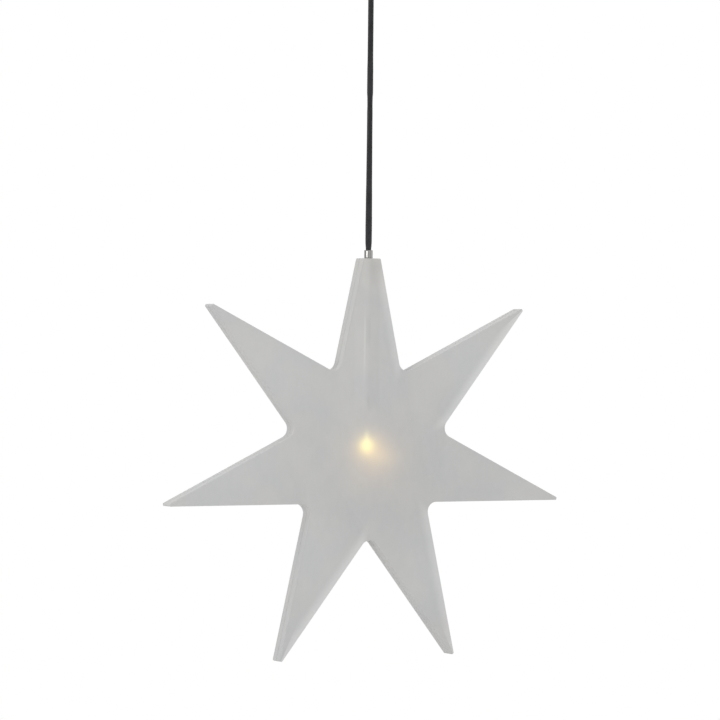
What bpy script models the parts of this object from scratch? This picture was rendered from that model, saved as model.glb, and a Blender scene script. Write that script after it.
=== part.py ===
# Hanging LED star: a hollow seven-armed star of two frosted shells, lit from inside by one
# small LED, hung from a ceiling cup by a textile cord. Metres, +Z up, the star's face to -Y,
# the origin in the middle of the face that lies against the ceiling.

import math

import bmesh
import bpy
from mathutils import Matrix, Vector

# Clearances that several pieces share
SEAT_GAP = 0.0003
CUT_OVERRUN = 0.002
WELD_DISTANCE = 0.00001

# Star shells: a {7/3} star polygon, blunt at the tips and cut flat at the top arm
ARM_COUNT = 7
ARM_SKIP = 3
TIP_RADIUS = 0.237
TIP_WIDTH = 0.00274
TIP_ROUND = 0.0012
TOP_CUT_WIDTH = 0.020
NOTCH_ROUND = 0.0097
STAR_THICKNESS = 0.0153
SHELL_WALL = 0.0018
FACE_EDGE_ROUND = 0.0006
TONGUE_THICKNESS = 0.0008
TONGUE_HEIGHT = 0.0015

# Ribs moulded inside the shells
RIB_ROOT = 0.0005
POCKET_RIB_THICKNESS = 0.0016
POCKET_RIB_SIDE_GAP = 0.001
CHANNEL_RIB_THICKNESS = 0.001
CLIP_THICKNESS = 0.0008
CLIP_REACH = 0.0006
CLIP_LENGTH = 0.004
CLIP_SHARES = (0.06, 0.42, 0.88)
SADDLE_LENGTH = 0.003
SADDLE_WALL = 0.0012
SADDLE_SNAP = 0.0008

# Ferrule at the top of the star, and the cord's stop under it
FERRULE_RADIUS = 0.0043
FERRULE_HEIGHT = 0.008
FERRULE_EDGE_ROUND = 0.0004
FERRULE_NECK_WALL = 0.0007
COLLAR_THICKNESS = 0.002
COLLAR_SIDE_GAP = 0.001
CRIMP_WALL = 0.0007
CRIMP_LENGTH = 0.005
CRIMP_WAIST = 0.0002

# Cord
CORD_DIAMETER = 0.006
CORD_FREE_LENGTH = 0.265
CORD_NECK_DIAMETER = 0.0051
CORD_NECK_LENGTH = 0.008
CORD_SOCKET_DEPTH = 0.002
CORD_TAIL = 0.002
CORD_POINT_SPACING = 0.015

# Wires, solder joints and series resistor inside the star
WIRE_DIAMETER = 0.0013
WIRE_GAP = 0.0007
WIRE_BEND = 0.012
WIRE_POINT_SPACING = 0.003
SLEEVE_WALL = 0.0003
JOINT_SLEEVE_LENGTH = 0.007
JOINT_SIDE_GAP = 0.00035
RESISTOR_LENGTH = 0.0063
RESISTOR_CAP_LENGTH = 0.0014
RESISTOR_CAP_RADIUS = 0.00115
RESISTOR_WAIST_RADIUS = 0.00095
RESISTOR_LOWER_LEAD = 0.013
RESISTOR_UPPER_LEAD = 0.0065
RESISTOR_SLEEVE_OVERHANG = 0.0024
LEAD_RADIUS = 0.00028

# LED, lens down
LED_HEIGHT_ABOVE_CENTRE = 0.005
LED_LENGTH = 0.0086
LED_RADIUS = 0.0025
LED_FLANGE_RADIUS = 0.0029
LED_FLANGE_HEIGHT = 0.001
LED_LEAD_PITCH = 0.00254
LED_LEAD_LENGTH = 0.024

# Ceiling cup, its strap and its side screws
CUP_RADIUS = 0.031
CUP_HEIGHT = 0.024
CUP_WALL = 0.0012
CUP_ROUND = 0.004
CUP_CEILING_GAP = 0.0005
STRAP_WIDTH = 0.014
STRAP_THICKNESS = 0.0015
STRAP_LEG = 0.012
STRAP_BEND = 0.002
SLOT_WIDTH = 0.0045
SLOT_LENGTH = 0.009
SLOT_SHARE = 0.55
CUP_SCREW_RADIUS = 0.002
CUP_SCREW_LENGTH = 0.0065
CUP_SCREW_HEAD_RADIUS = 0.0036
CUP_SCREW_HEAD_HEIGHT = 0.002
CUP_SCREW_SLOT_WIDTH = 0.0008
CUP_SCREW_SLOT_DEPTH = 0.0009

# Cord grip in the cup's floor
GRIP_RADIUS = 0.0065
GRIP_LENGTH = 0.016
GRIP_ROUND = 0.0015
GRIP_MOUTH_ROUND = 0.001
GRIP_STUB_WALL = 0.0015
GRIP_STUB_END = 0.0015
GRIP_NUT_FLATS = 0.014
GRIP_NUT_HEIGHT = 0.003
GRIP_SCREW_RADIUS = 0.0015
GRIP_SCREW_SINK = 0.0003
GRIP_SCREW_SHARE = 0.5

# Terminal block under the strap
BLOCK_LENGTH = 0.016
BLOCK_DEPTH = 0.009
BLOCK_HEIGHT = 0.009
BLOCK_ROUND = 0.0005
TERMINAL_PITCH = 0.008
TERMINAL_SCREW_RADIUS = 0.0013
TERMINAL_SCREW_SINK = 0.0005
WIRE_INSERTION = 0.003
CUP_WIRE_REACH = 0.0042
CUP_WIRE_RISE_SHARE = 0.5

# Facets
TURN_STEPS = 32
FINE_TURN_STEPS = 16
NOTCH_STEPS = 8
TIP_STEPS = 3
CORNER_STEPS = 3
CORD_BEVEL_RESOLUTION = 4
WIRE_BEVEL_RESOLUTION = 2
SHARP_ANGLE = math.radians(35)
BEVEL_ANGLE = math.radians(60)
FLAT_ANGLE = math.radians(0.5)

# The star polygon's own proportions
HALF_TIP_ANGLE = math.pi * (0.5 - ARM_SKIP / ARM_COUNT)
EDGE_DISTANCE = TIP_RADIUS * math.cos(math.pi * ARM_SKIP / ARM_COUNT)
TOP_CUT = TIP_RADIUS - TOP_CUT_WIDTH / 2 / math.tan(HALF_TIP_ANGLE)
CAVITY_DEPTH = STAR_THICKNESS / 2 - SHELL_WALL

# Radii that follow the cord and the wires
CORD_RADIUS = CORD_DIAMETER / 2
CORD_NECK_RADIUS = CORD_NECK_DIAMETER / 2
WIRE_RADIUS = WIRE_DIAMETER / 2
FERRULE_BORE = CORD_NECK_RADIUS + SEAT_GAP
FERRULE_NECK_RADIUS = FERRULE_BORE + FERRULE_NECK_WALL
GRIP_BORE = CORD_RADIUS + SEAT_GAP
GRIP_STUB_RADIUS = GRIP_BORE + GRIP_STUB_WALL
JOINT_SLEEVE_BORE = WIRE_RADIUS + SEAT_GAP
RESISTOR_SLEEVE_BORE = RESISTOR_CAP_RADIUS + SEAT_GAP

# Heights below the ceiling
STRAP_UNDERSIDE = -STRAP_THICKNESS
CUP_TOP = -CUP_CEILING_GAP
CUP_BOTTOM = CUP_TOP - CUP_HEIGHT
CUP_FLOOR = CUP_BOTTOM + CUP_WALL
CUP_SCREW_Z = (STRAP_UNDERSIDE - STRAP_LEG) / 2
GRIP_SHOULDER = CUP_BOTTOM - SEAT_GAP
GRIP_NUT_TOP = CUP_FLOOR + SEAT_GAP + GRIP_NUT_HEIGHT
GRIP_STUB_TOP = GRIP_NUT_TOP + GRIP_STUB_END
SWING_Z = GRIP_SHOULDER - GRIP_LENGTH
FERRULE_TOP = SWING_Z - CORD_FREE_LENGTH
STAR_Z = FERRULE_TOP - FERRULE_HEIGHT - SEAT_GAP - TOP_CUT
BLOCK_Z = STRAP_UNDERSIDE - SEAT_GAP - BLOCK_HEIGHT / 2

# Heights above the star's centre
COLLAR_TOP = TOP_CUT - SHELL_WALL - SEAT_GAP
COLLAR_BOTTOM = COLLAR_TOP - COLLAR_THICKNESS
POCKET_RIB_TOP = COLLAR_BOTTOM - SEAT_GAP
POCKET_RIB_BOTTOM = POCKET_RIB_TOP - POCKET_RIB_THICKNESS
CRIMP_TOP = POCKET_RIB_BOTTOM - SEAT_GAP
CRIMP_BOTTOM = CRIMP_TOP - CRIMP_LENGTH
JACKET_END = CRIMP_BOTTOM - CORD_TAIL
CHANNEL_TOP = JACKET_END - WIRE_BEND
LED_BASE = LED_HEIGHT_ABOVE_CENTRE + LED_LENGTH / 2
LED_DOME = LED_HEIGHT_ABOVE_CENTRE - LED_LENGTH / 2
LOWER_JOINT = LED_BASE + SEAT_GAP + LED_LEAD_LENGTH
RESISTOR_BOTTOM = LOWER_JOINT + RESISTOR_LOWER_LEAD
RESISTOR_TOP = RESISTOR_BOTTOM + RESISTOR_LENGTH
UPPER_JOINT = RESISTOR_TOP + RESISTOR_UPPER_LEAD
CHANNEL_BOTTOM = UPPER_JOINT + JOINT_SLEEVE_LENGTH / 2 + WIRE_BEND

# Places across the wire channel
WIRE_X = WIRE_RADIUS + WIRE_GAP / 2
WIRE_Y = CAVITY_DEPTH - SEAT_GAP - WIRE_RADIUS
JOINT_X = RESISTOR_SLEEVE_BORE + SLEEVE_WALL + JOINT_SIDE_GAP
CHANNEL_RIB_X = WIRE_X + WIRE_RADIUS + SEAT_GAP + CHANNEL_RIB_THICKNESS / 2
CHANNEL_DEPTH = SEAT_GAP + WIRE_DIAMETER + SEAT_GAP + CLIP_THICKNESS


def clear_scene():
    for obj in list(bpy.data.objects):
        bpy.data.objects.remove(obj, do_unlink=True)


def new_collection(name):
    collection = bpy.data.collections.new(name)
    bpy.context.scene.collection.children.link(collection)
    return collection


def new_material(name, colour, roughness, metallic):
    material = bpy.data.materials.new(name)
    material.use_nodes = True
    surface = material.node_tree.nodes["Principled BSDF"]
    surface.inputs["Base Color"].default_value = (*colour, 1)
    surface.inputs["Roughness"].default_value = roughness
    surface.inputs["Metallic"].default_value = metallic
    material.diffuse_color = (*colour, 1)
    return material


clear_scene()
parts = new_collection("led_christmas_star")
cutters = new_collection("cutters")

frosted = new_material("frosted_shell", (0.57, 0.572, 0.562), 0.6, 0)
satin_steel = new_material("satin_steel", (0.62, 0.61, 0.59), 0.28, 1)
zinc_steel = new_material("zinc_steel", (0.5, 0.51, 0.52), 0.4, 1)
black_textile = new_material("black_textile", (0.03, 0.03, 0.032), 0.9, 0)
black_lacquer = new_material("black_lacquer", (0.025, 0.025, 0.027), 0.45, 0)
black_nylon = new_material("black_nylon", (0.03, 0.03, 0.03), 0.55, 0)
white_nylon = new_material("white_nylon", (0.8, 0.8, 0.78), 0.5, 0)
white_insulation = new_material("white_insulation", (0.82, 0.82, 0.8), 0.4, 0)
grey_insulation = new_material("grey_insulation", (0.45, 0.45, 0.45), 0.4, 0)
clear_sleeve = new_material("clear_sleeve", (0.65, 0.63, 0.58), 0.3, 0)
resistor_lacquer = new_material("resistor_lacquer", (0.6, 0.47, 0.3), 0.4, 0)
tinned_wire = new_material("tinned_wire", (0.7, 0.69, 0.66), 0.25, 1)
warm_epoxy = new_material("warm_epoxy", (1.0, 0.86, 0.55), 0.1, 0)


def add_object(name, mesh, material, parent, location=(0, 0, 0)):
    mesh.name = name
    mesh.materials.clear()
    mesh.materials.append(material)
    obj = bpy.data.objects.new(name, mesh)
    parts.objects.link(obj)
    obj.parent = parent
    obj.location = location
    return obj


def add_cutter(name, mesh, parent, location=(0, 0, 0)):
    obj = bpy.data.objects.new(name, mesh)
    cutters.objects.link(obj)
    obj.parent = parent
    obj.location = location
    obj.hide_render = True
    obj.display_type = "WIRE"
    return obj


def add_pivot(name, parent, location):
    pivot = bpy.data.objects.new(name, None)
    pivot.empty_display_size = CUP_RADIUS
    parts.objects.link(pivot)
    pivot.parent = parent
    pivot.location = location
    return pivot


def boolean(obj, cutter, operation):
    step = obj.modifiers.new(f"{operation.title()} {cutter.name}", "BOOLEAN")
    step.operation = operation
    step.object = cutter
    step.solver = "EXACT"


def cut(obj, cutter):
    boolean(obj, cutter, "DIFFERENCE")


def join(obj, addition):
    boolean(obj, addition, "UNION")


def round_edges(obj, width, segments):
    bevel = obj.modifiers.new("Round edges", "BEVEL")
    bevel.width = width
    bevel.segments = segments
    bevel.limit_method = "ANGLE"
    bevel.angle_limit = BEVEL_ANGLE


def shade_round(mesh):
    mesh.shade_smooth()
    mesh.set_sharp_from_angle(angle=SHARP_ANGLE)
    return mesh


def tidy_mesh(mesh):
    work = bmesh.new()
    work.from_mesh(mesh)
    bmesh.ops.remove_doubles(work, verts=work.verts, dist=WELD_DISTANCE)
    bmesh.ops.recalc_face_normals(work, faces=work.faces)
    work.to_mesh(mesh)
    work.free()
    return mesh


def as_mesh(data, modify=None):
    # The mesh that a curve, or a mesh with one modifier, evaluates to
    guide = bpy.data.objects.new("guide", data)
    cutters.objects.link(guide)
    if modify:
        modify(guide)
    graph = bpy.context.evaluated_depsgraph_get()
    mesh = bpy.data.meshes.new_from_object(guide.evaluated_get(graph))
    bpy.data.objects.remove(guide, do_unlink=True)
    return tidy_mesh(mesh)


def merge_flat_faces(mesh):
    # One face for each flat side, so that no needless edge crosses a later cut
    work = bmesh.new()
    work.from_mesh(mesh)
    bmesh.ops.dissolve_limit(work, angle_limit=FLAT_ANGLE, verts=work.verts, edges=work.edges)
    work.to_mesh(mesh)
    work.free()
    return mesh


def plate(points, near, far, flat=False):
    # An outline in X and Z from near to far along Y or, flat, in X and Y from near to far along Z
    curve = bpy.data.curves.new("plate", "CURVE")
    curve.dimensions = "2D"
    curve.fill_mode = "BOTH"
    curve.extrude = (far - near) / 2
    spline = curve.splines.new("POLY")
    spline.points.add(len(points) - 1)
    for point, (across, along) in zip(spline.points, points):
        point.co = (across, along, 0, 1)
    spline.use_cyclic_u = True
    mesh = merge_flat_faces(as_mesh(curve))
    middle = (near + far) / 2
    if flat:
        mesh.transform(Matrix.Translation((0, 0, middle)))
    else:
        mesh.transform(Matrix.Translation((0, middle, 0)) @ Matrix.Rotation(math.pi / 2, 4, "X"))
    return mesh


def block(low, high):
    work = bmesh.new()
    bmesh.ops.create_cube(work, size=1)
    size = Vector(high) - Vector(low)
    centre = (Vector(high) + Vector(low)) / 2
    place = Matrix.Translation(centre) @ Matrix.Diagonal((*size, 1))
    bmesh.ops.transform(work, matrix=place, verts=work.verts)
    mesh = bpy.data.meshes.new("block")
    work.to_mesh(mesh)
    work.free()
    return mesh


def rod(radius, low, high, axis="Z", segments=TURN_STEPS, centre=(0, 0)):
    # A cylinder from low to high along an axis; centre is its place across, in axis order
    work = bmesh.new()
    bmesh.ops.create_cone(
        work, cap_ends=True, segments=segments, radius1=radius, radius2=radius, depth=high - low
    )
    middle = (low + high) / 2
    if axis == "X":
        place = Matrix.Translation((middle, *centre)) @ Matrix.Rotation(math.pi / 2, 4, "Y")
    elif axis == "Y":
        place = Matrix.Translation((centre[0], middle, centre[1])) @ Matrix.Rotation(-math.pi / 2, 4, "X")
    else:
        place = Matrix.Translation((*centre, middle))
    bmesh.ops.transform(work, matrix=place, verts=work.verts)
    mesh = bpy.data.meshes.new("rod")
    work.to_mesh(mesh)
    work.free()
    return shade_round(mesh)


def turned(profile, ring=False, steps=TURN_STEPS):
    # A profile of (radius, height) turned about Z; it runs down its outer side
    count = len(profile)
    edges = [(i, i + 1) for i in range(count - 1)]
    if ring:
        edges.append((count - 1, 0))
    mesh = bpy.data.meshes.new("turned")
    mesh.from_pydata([(radius, 0, height) for radius, height in profile], edges, [])

    def screw(obj):
        turn = obj.modifiers.new("Turn", "SCREW")
        turn.axis = "Z"
        turn.steps = steps
        turn.render_steps = steps
        turn.use_merge_vertices = True
        turn.merge_threshold = WELD_DISTANCE

    return shade_round(as_mesh(mesh, screw))


def tube(points, radius, resolution, shares=None):
    # A round wire or cord through the points; shares thins it point by point
    curve = bpy.data.curves.new("tube", "CURVE")
    curve.dimensions = "3D"
    curve.bevel_depth = radius
    curve.bevel_resolution = resolution
    curve.use_fill_caps = True
    spline = curve.splines.new("POLY")
    spline.points.add(len(points) - 1)
    for index, place in enumerate(points):
        spline.points[index].co = (*place, 1)
        spline.points[index].radius = shares[index] if shares else 1
    return shade_round(as_mesh(curve))


def arc(centre, radius, start, end, steps):
    angles = [start + (end - start) * i / steps for i in range(steps + 1)]
    return [(centre[0] + radius * math.cos(a), centre[1] + radius * math.sin(a)) for a in angles]


def rounded_corner(corner, before, after, radius, steps):
    # The arc that rounds a corner of an outline between its two neighbours
    corner = Vector(corner)
    to_before = (Vector(before) - corner).normalized()
    to_after = (Vector(after) - corner).normalized()
    half_angle = to_before.angle(to_after) / 2
    centre = corner + (to_before + to_after).normalized() * radius / math.sin(half_angle)
    reach = radius / math.tan(half_angle)
    start = corner + to_before * reach - centre
    finish = corner + to_after * reach - centre
    first = math.atan2(start.y, start.x)
    turn = math.atan2(start.x * finish.y - start.y * finish.x, start.dot(finish))
    return arc(centre, radius, first, first + turn, steps)


def on_ray(radius, angle):
    return Vector((radius * math.cos(angle), radius * math.sin(angle)))


def arm_half_width(height, inset=0):
    # Half the width of an arm at a height along it, with the edges moved in by inset
    tip = (EDGE_DISTANCE - inset) / math.cos(math.pi * ARM_SKIP / ARM_COUNT)
    return (tip - height) * math.tan(HALF_TIP_ANGLE)


def star_outline(inset):
    # The star polygon with every edge moved in by inset; all tips keep their blunt width
    edge = EDGE_DISTANCE - inset
    tip = edge / math.cos(math.pi * ARM_SKIP / ARM_COUNT)
    notch = edge / math.cos(math.pi * (ARM_SKIP - 1) / ARM_COUNT)
    blunt = tip - TIP_WIDTH / 2 / math.tan(HALF_TIP_ANGLE)
    pitch = 2 * math.pi / ARM_COUNT
    points = []
    for arm in range(ARM_COUNT):
        angle = math.pi / 2 - arm * pitch
        reach = TOP_CUT - inset if arm == 0 else blunt
        half_width = (tip - reach) * math.tan(HALF_TIP_ANGLE)
        middle = on_ray(reach, angle)
        side = on_ray(half_width, angle + math.pi / 2)
        left, right = middle + side, middle - side
        left_notch = on_ray(notch, angle + pitch / 2)
        right_notch = on_ray(notch, angle - pitch / 2)
        next_tip = on_ray(tip, angle - pitch)
        points += rounded_corner(left, left_notch, right, TIP_ROUND, TIP_STEPS)
        points += rounded_corner(right, left, right_notch, TIP_ROUND, TIP_STEPS)
        points += rounded_corner(right_notch, middle, next_tip, NOTCH_ROUND + inset, NOTCH_STEPS)
    return points


def make_shell(name, side, star):
    # One half of the star: side is -1 for the front, 1 for the rear
    shell = add_object(name, plate(star_outline(0), -STAR_THICKNESS / 2, STAR_THICKNESS / 2), frosted, star)
    round_edges(shell, FACE_EDGE_ROUND, 2)
    size = TIP_RADIUS + CUT_OVERRUN
    parting = side * SEAT_GAP / 2
    beyond = -side * (STAR_THICKNESS / 2 + CUT_OVERRUN)
    half = block((-size, min(parting, beyond), -size), (size, max(parting, beyond), size))
    cut(shell, add_cutter(f"{name}_other_half", half, star))
    return shell


def add_tongue(shell, star):
    ring = plate(star_outline(SHELL_WALL - TONGUE_THICKNESS), -TONGUE_HEIGHT, TONGUE_HEIGHT)
    join(shell, add_cutter("tongue_plate", ring, star))


def cut_rabbet(shell, star):
    depth = TONGUE_HEIGHT + SEAT_GAP
    ring = plate(star_outline(SHELL_WALL - TONGUE_THICKNESS - SEAT_GAP), -depth, depth)
    cut(shell, add_cutter("rabbet_plate", ring, star))


def add_pocket_rib(shell, side, star, cord_hole):
    # The rib that holds the ferrule's collar up against the top wall
    half_width = arm_half_width(POCKET_RIB_TOP, SHELL_WALL) - POCKET_RIB_SIDE_GAP
    inner = side * SEAT_GAP / 2
    outer = side * (CAVITY_DEPTH + RIB_ROOT)
    low = (-half_width, min(inner, outer), POCKET_RIB_BOTTOM)
    high = (half_width, max(inner, outer), POCKET_RIB_TOP)
    join(shell, add_cutter(f"{shell.name}_pocket_rib", block(low, high), star))
    cut(shell, cord_hole)


def add_wire_channel(shell, star):
    # Two ribs down the top arm, with pairs of teeth that keep the wires in
    floor = CAVITY_DEPTH + RIB_ROOT
    crest = CAVITY_DEPTH - CHANNEL_DEPTH
    run = CHANNEL_TOP - CHANNEL_BOTTOM
    for side, word in ((-1, "left"), (1, "right")):
        near = side * (CHANNEL_RIB_X - CHANNEL_RIB_THICKNESS / 2)
        far = side * (CHANNEL_RIB_X + CHANNEL_RIB_THICKNESS / 2)
        rib = block((min(near, far), crest, CHANNEL_BOTTOM), (max(near, far), floor, CHANNEL_TOP))
        join(shell, add_cutter(f"channel_rib_{word}", rib, star))
        middle = side * CHANNEL_RIB_X
        tooth = near - side * CLIP_REACH
        for index, share in enumerate(CLIP_SHARES):
            low = CHANNEL_TOP - run * share - CLIP_LENGTH / 2
            lip = block(
                (min(middle, tooth), crest, low),
                (max(middle, tooth), crest + CLIP_THICKNESS, low + CLIP_LENGTH),
            )
            join(shell, add_cutter(f"channel_tooth_{word}_{index}", lip, star))


def add_led_saddle(shell, star):
    half_width = LED_RADIUS + SEAT_GAP + SADDLE_WALL
    low = (-half_width, -SADDLE_SNAP, LED_HEIGHT_ABOVE_CENTRE - SADDLE_LENGTH / 2)
    high = (half_width, CAVITY_DEPTH + RIB_ROOT, LED_HEIGHT_ABOVE_CENTRE + SADDLE_LENGTH / 2)
    join(shell, add_cutter("led_saddle", block(low, high), star))
    seat = rod(LED_RADIUS + SEAT_GAP, low[2] - CUT_OVERRUN, high[2] + CUT_OVERRUN)
    cut(shell, add_cutter("led_seat", seat, star))


def make_shells(star):
    cavity = add_cutter("cavity", plate(star_outline(SHELL_WALL), -CAVITY_DEPTH, CAVITY_DEPTH), star)
    neck_hole = rod(FERRULE_NECK_RADIUS + SEAT_GAP, COLLAR_TOP - CUT_OVERRUN, TOP_CUT + CUT_OVERRUN)
    neck_hole = add_cutter("neck_hole", neck_hole, star)
    low, high = POCKET_RIB_BOTTOM - CUT_OVERRUN, POCKET_RIB_TOP + CUT_OVERRUN
    cord_hole = add_cutter("cord_hole", rod(CORD_NECK_RADIUS + SEAT_GAP, low, high), star)
    front = make_shell("star_front_shell", -1, star)
    add_tongue(front, star)
    rear = make_shell("star_rear_shell", 1, star)
    cut_rabbet(rear, star)
    for shell, side in ((front, -1), (rear, 1)):
        cut(shell, cavity)
        cut(shell, neck_hole)
        add_pocket_rib(shell, side, star, cord_hole)
    add_wire_channel(rear, star)
    add_led_saddle(rear, star)


def make_ferrule(star):
    # A turned sleeve on the top cut, its neck through the wall and its collar in the pocket
    top = TOP_CUT + SEAT_GAP + FERRULE_HEIGHT
    seat = TOP_CUT + SEAT_GAP
    collar = CAVITY_DEPTH - COLLAR_SIDE_GAP
    edge = FERRULE_EDGE_ROUND
    profile = [(FERRULE_BORE, top), (FERRULE_RADIUS - edge, top), (FERRULE_RADIUS, top - edge)]
    profile += [(FERRULE_RADIUS, seat), (FERRULE_NECK_RADIUS, seat), (FERRULE_NECK_RADIUS, COLLAR_TOP)]
    profile += [(collar, COLLAR_TOP), (collar, COLLAR_BOTTOM), (FERRULE_BORE, COLLAR_BOTTOM)]
    add_object("ferrule", turned(profile, ring=True), satin_steel, star)


def make_crimp(star):
    # The ring crimped on the cord's end, pinched in at its waist
    bore = CORD_NECK_RADIUS + SEAT_GAP
    outer = bore + CRIMP_WALL
    middle = (CRIMP_TOP + CRIMP_BOTTOM) / 2
    profile = [(bore, CRIMP_TOP), (outer, CRIMP_TOP), (outer - CRIMP_WAIST, middle)]
    profile += [(outer, CRIMP_BOTTOM), (bore, CRIMP_BOTTOM)]
    add_object("cord_crimp", turned(profile, ring=True), satin_steel, star)


def make_cord_ends(star):
    # The two lengths of cord that are held fast: in the ferrule and in the ceiling grip
    top = TOP_CUT + SEAT_GAP + FERRULE_HEIGHT - CORD_SOCKET_DEPTH - SEAT_GAP
    lower = rod(CORD_NECK_RADIUS, JACKET_END, top, segments=FINE_TURN_STEPS)
    add_object("cord_lower_end", lower, black_textile, star)
    upper = rod(CORD_RADIUS, SWING_Z + CORD_RADIUS + SEAT_GAP, cup_jacket_end(), segments=FINE_TURN_STEPS)
    add_object("cord_upper_end", upper, black_textile, None)


def cup_jacket_end():
    return GRIP_STUB_TOP + CORD_TAIL


def make_cord(hanger):
    # The free cord, as heights below the swing point; it narrows where it enters the ferrule
    top = -CORD_RADIUS - SEAT_GAP
    bottom = -CORD_FREE_LENGTH - CORD_SOCKET_DEPTH
    shoulder = -CORD_FREE_LENGTH + CORD_NECK_LENGTH
    mouth = -CORD_FREE_LENGTH
    count = round((top - shoulder) / CORD_POINT_SPACING)
    heights = [top + (shoulder - top) * i / count for i in range(count + 1)]
    neck_share = CORD_NECK_DIAMETER / CORD_DIAMETER
    shares = [1] * len(heights) + [neck_share, neck_share]
    points = [(0, 0, height) for height in heights + [mouth, bottom]]
    mesh = tube(points, CORD_RADIUS, CORD_BEVEL_RESOLUTION, shares)
    add_object("cord", mesh, black_textile, hanger)


def make_cord_bend(hanger):
    # The short stretch at the grip's mouth where the cord bends when the star swings
    half_turn = [math.pi / 2 - math.pi * i / FINE_TURN_STEPS for i in range(FINE_TURN_STEPS + 1)]
    profile = [(CORD_RADIUS * math.cos(angle), CORD_RADIUS * math.sin(angle)) for angle in half_turn]
    profile[0] = (0, CORD_RADIUS)
    profile[-1] = (0, -CORD_RADIUS)
    add_object("cord_top_bend", turned(profile, steps=FINE_TURN_STEPS), black_textile, hanger)


def smooth_share(value):
    value = min(max(value, 0), 1)
    return value * value * (3 - 2 * value)


def wire_points(side, bottom):
    # From the cord's end back into the channel, down it, then forward and apart to the joints
    top = JACKET_END - SEAT_GAP
    count = round((top - bottom) / WIRE_POINT_SPACING)
    points = []
    for i in range(count + 1):
        height = top + (bottom - top) * i / count
        sunk = smooth_share((top - height) / WIRE_BEND)
        risen = smooth_share((CHANNEL_BOTTOM - height) / WIRE_BEND)
        across = WIRE_X + (JOINT_X - WIRE_X) * risen
        points.append((side * across, WIRE_Y * (sunk - risen), height))
    return points


def make_wires(star):
    positive = wire_points(-1, UPPER_JOINT + SEAT_GAP / 2)
    negative = wire_points(1, LOWER_JOINT + SEAT_GAP / 2)
    mesh = tube(positive, WIRE_RADIUS, WIRE_BEVEL_RESOLUTION)
    add_object("wire_positive", mesh, white_insulation, star)
    mesh = tube(negative, WIRE_RADIUS, WIRE_BEVEL_RESOLUTION)
    add_object("wire_negative", mesh, grey_insulation, star)


def make_resistor(star):
    cap, waist = RESISTOR_CAP_RADIUS, RESISTOR_WAIST_RADIUS
    low, high = RESISTOR_BOTTOM, RESISTOR_TOP
    inset = RESISTOR_CAP_LENGTH
    chamfer = (cap - waist) / 2
    top = UPPER_JOINT - SEAT_GAP / 2
    bottom = LOWER_JOINT + SEAT_GAP / 2
    profile = [(0, top), (LEAD_RADIUS, top), (LEAD_RADIUS, high), (cap - chamfer, high)]
    profile += [(cap, high - chamfer), (cap, high - inset), (waist, high - inset - chamfer)]
    profile += [(waist, low + inset + chamfer), (cap, low + inset), (cap, low + chamfer)]
    profile += [(cap - chamfer, low), (LEAD_RADIUS, low), (LEAD_RADIUS, bottom), (0, bottom)]
    mesh = turned(profile, steps=FINE_TURN_STEPS)
    add_object("series_resistor", mesh, resistor_lacquer, star, (-JOINT_X, 0, 0))


def make_sleeve(name, bore, middle, length, side, star):
    low, high = middle - length / 2, middle + length / 2
    outer = bore + SLEEVE_WALL
    profile = [(bore, high), (outer, high), (outer, low), (bore, low)]
    mesh = turned(profile, ring=True, steps=FINE_TURN_STEPS)
    add_object(name, mesh, clear_sleeve, star, (side * JOINT_X, 0, 0))


def make_sleeves(star):
    make_sleeve("joint_sleeve_upper", JOINT_SLEEVE_BORE, UPPER_JOINT, JOINT_SLEEVE_LENGTH, -1, star)
    make_sleeve("joint_sleeve_anode", JOINT_SLEEVE_BORE, LOWER_JOINT, JOINT_SLEEVE_LENGTH, -1, star)
    make_sleeve("joint_sleeve_cathode", JOINT_SLEEVE_BORE, LOWER_JOINT, JOINT_SLEEVE_LENGTH, 1, star)
    middle = (RESISTOR_BOTTOM + RESISTOR_TOP) / 2
    length = RESISTOR_LENGTH + 2 * RESISTOR_SLEEVE_OVERHANG
    make_sleeve("resistor_sleeve", RESISTOR_SLEEVE_BORE, middle, length, -1, star)


def make_led(star):
    # A round LED with its lens down: a flange at the base and a domed end
    dome_centre = LED_DOME + LED_RADIUS
    flange_bottom = LED_BASE - LED_FLANGE_HEIGHT
    quarter = [math.pi / 2 * i / CORNER_STEPS / 2 for i in range(2 * CORNER_STEPS + 1)]
    dome = [(LED_RADIUS * math.cos(a), dome_centre - LED_RADIUS * math.sin(a)) for a in quarter]
    dome[-1] = (0, LED_DOME)
    profile = [(0, LED_BASE), (LED_FLANGE_RADIUS, LED_BASE), (LED_FLANGE_RADIUS, flange_bottom)]
    profile += [(LED_RADIUS, flange_bottom)] + dome
    add_object("led_lens", turned(profile, steps=FINE_TURN_STEPS), warm_epoxy, star)


def make_led_leads(star):
    bottom = LED_BASE + SEAT_GAP
    top = LOWER_JOINT - SEAT_GAP / 2
    count = round((top - bottom) / WIRE_POINT_SPACING)
    for side, name in ((-1, "led_anode_lead"), (1, "led_cathode_lead")):
        points = []
        for i in range(count + 1):
            share = i / count
            across = LED_LEAD_PITCH / 2 + (JOINT_X - LED_LEAD_PITCH / 2) * smooth_share(2 * share)
            points.append((side * across, 0, bottom + (top - bottom) * share))
        mesh = tube(points, LEAD_RADIUS, WIRE_BEVEL_RESOLUTION)
        add_object(name, mesh, tinned_wire, star)


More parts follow.
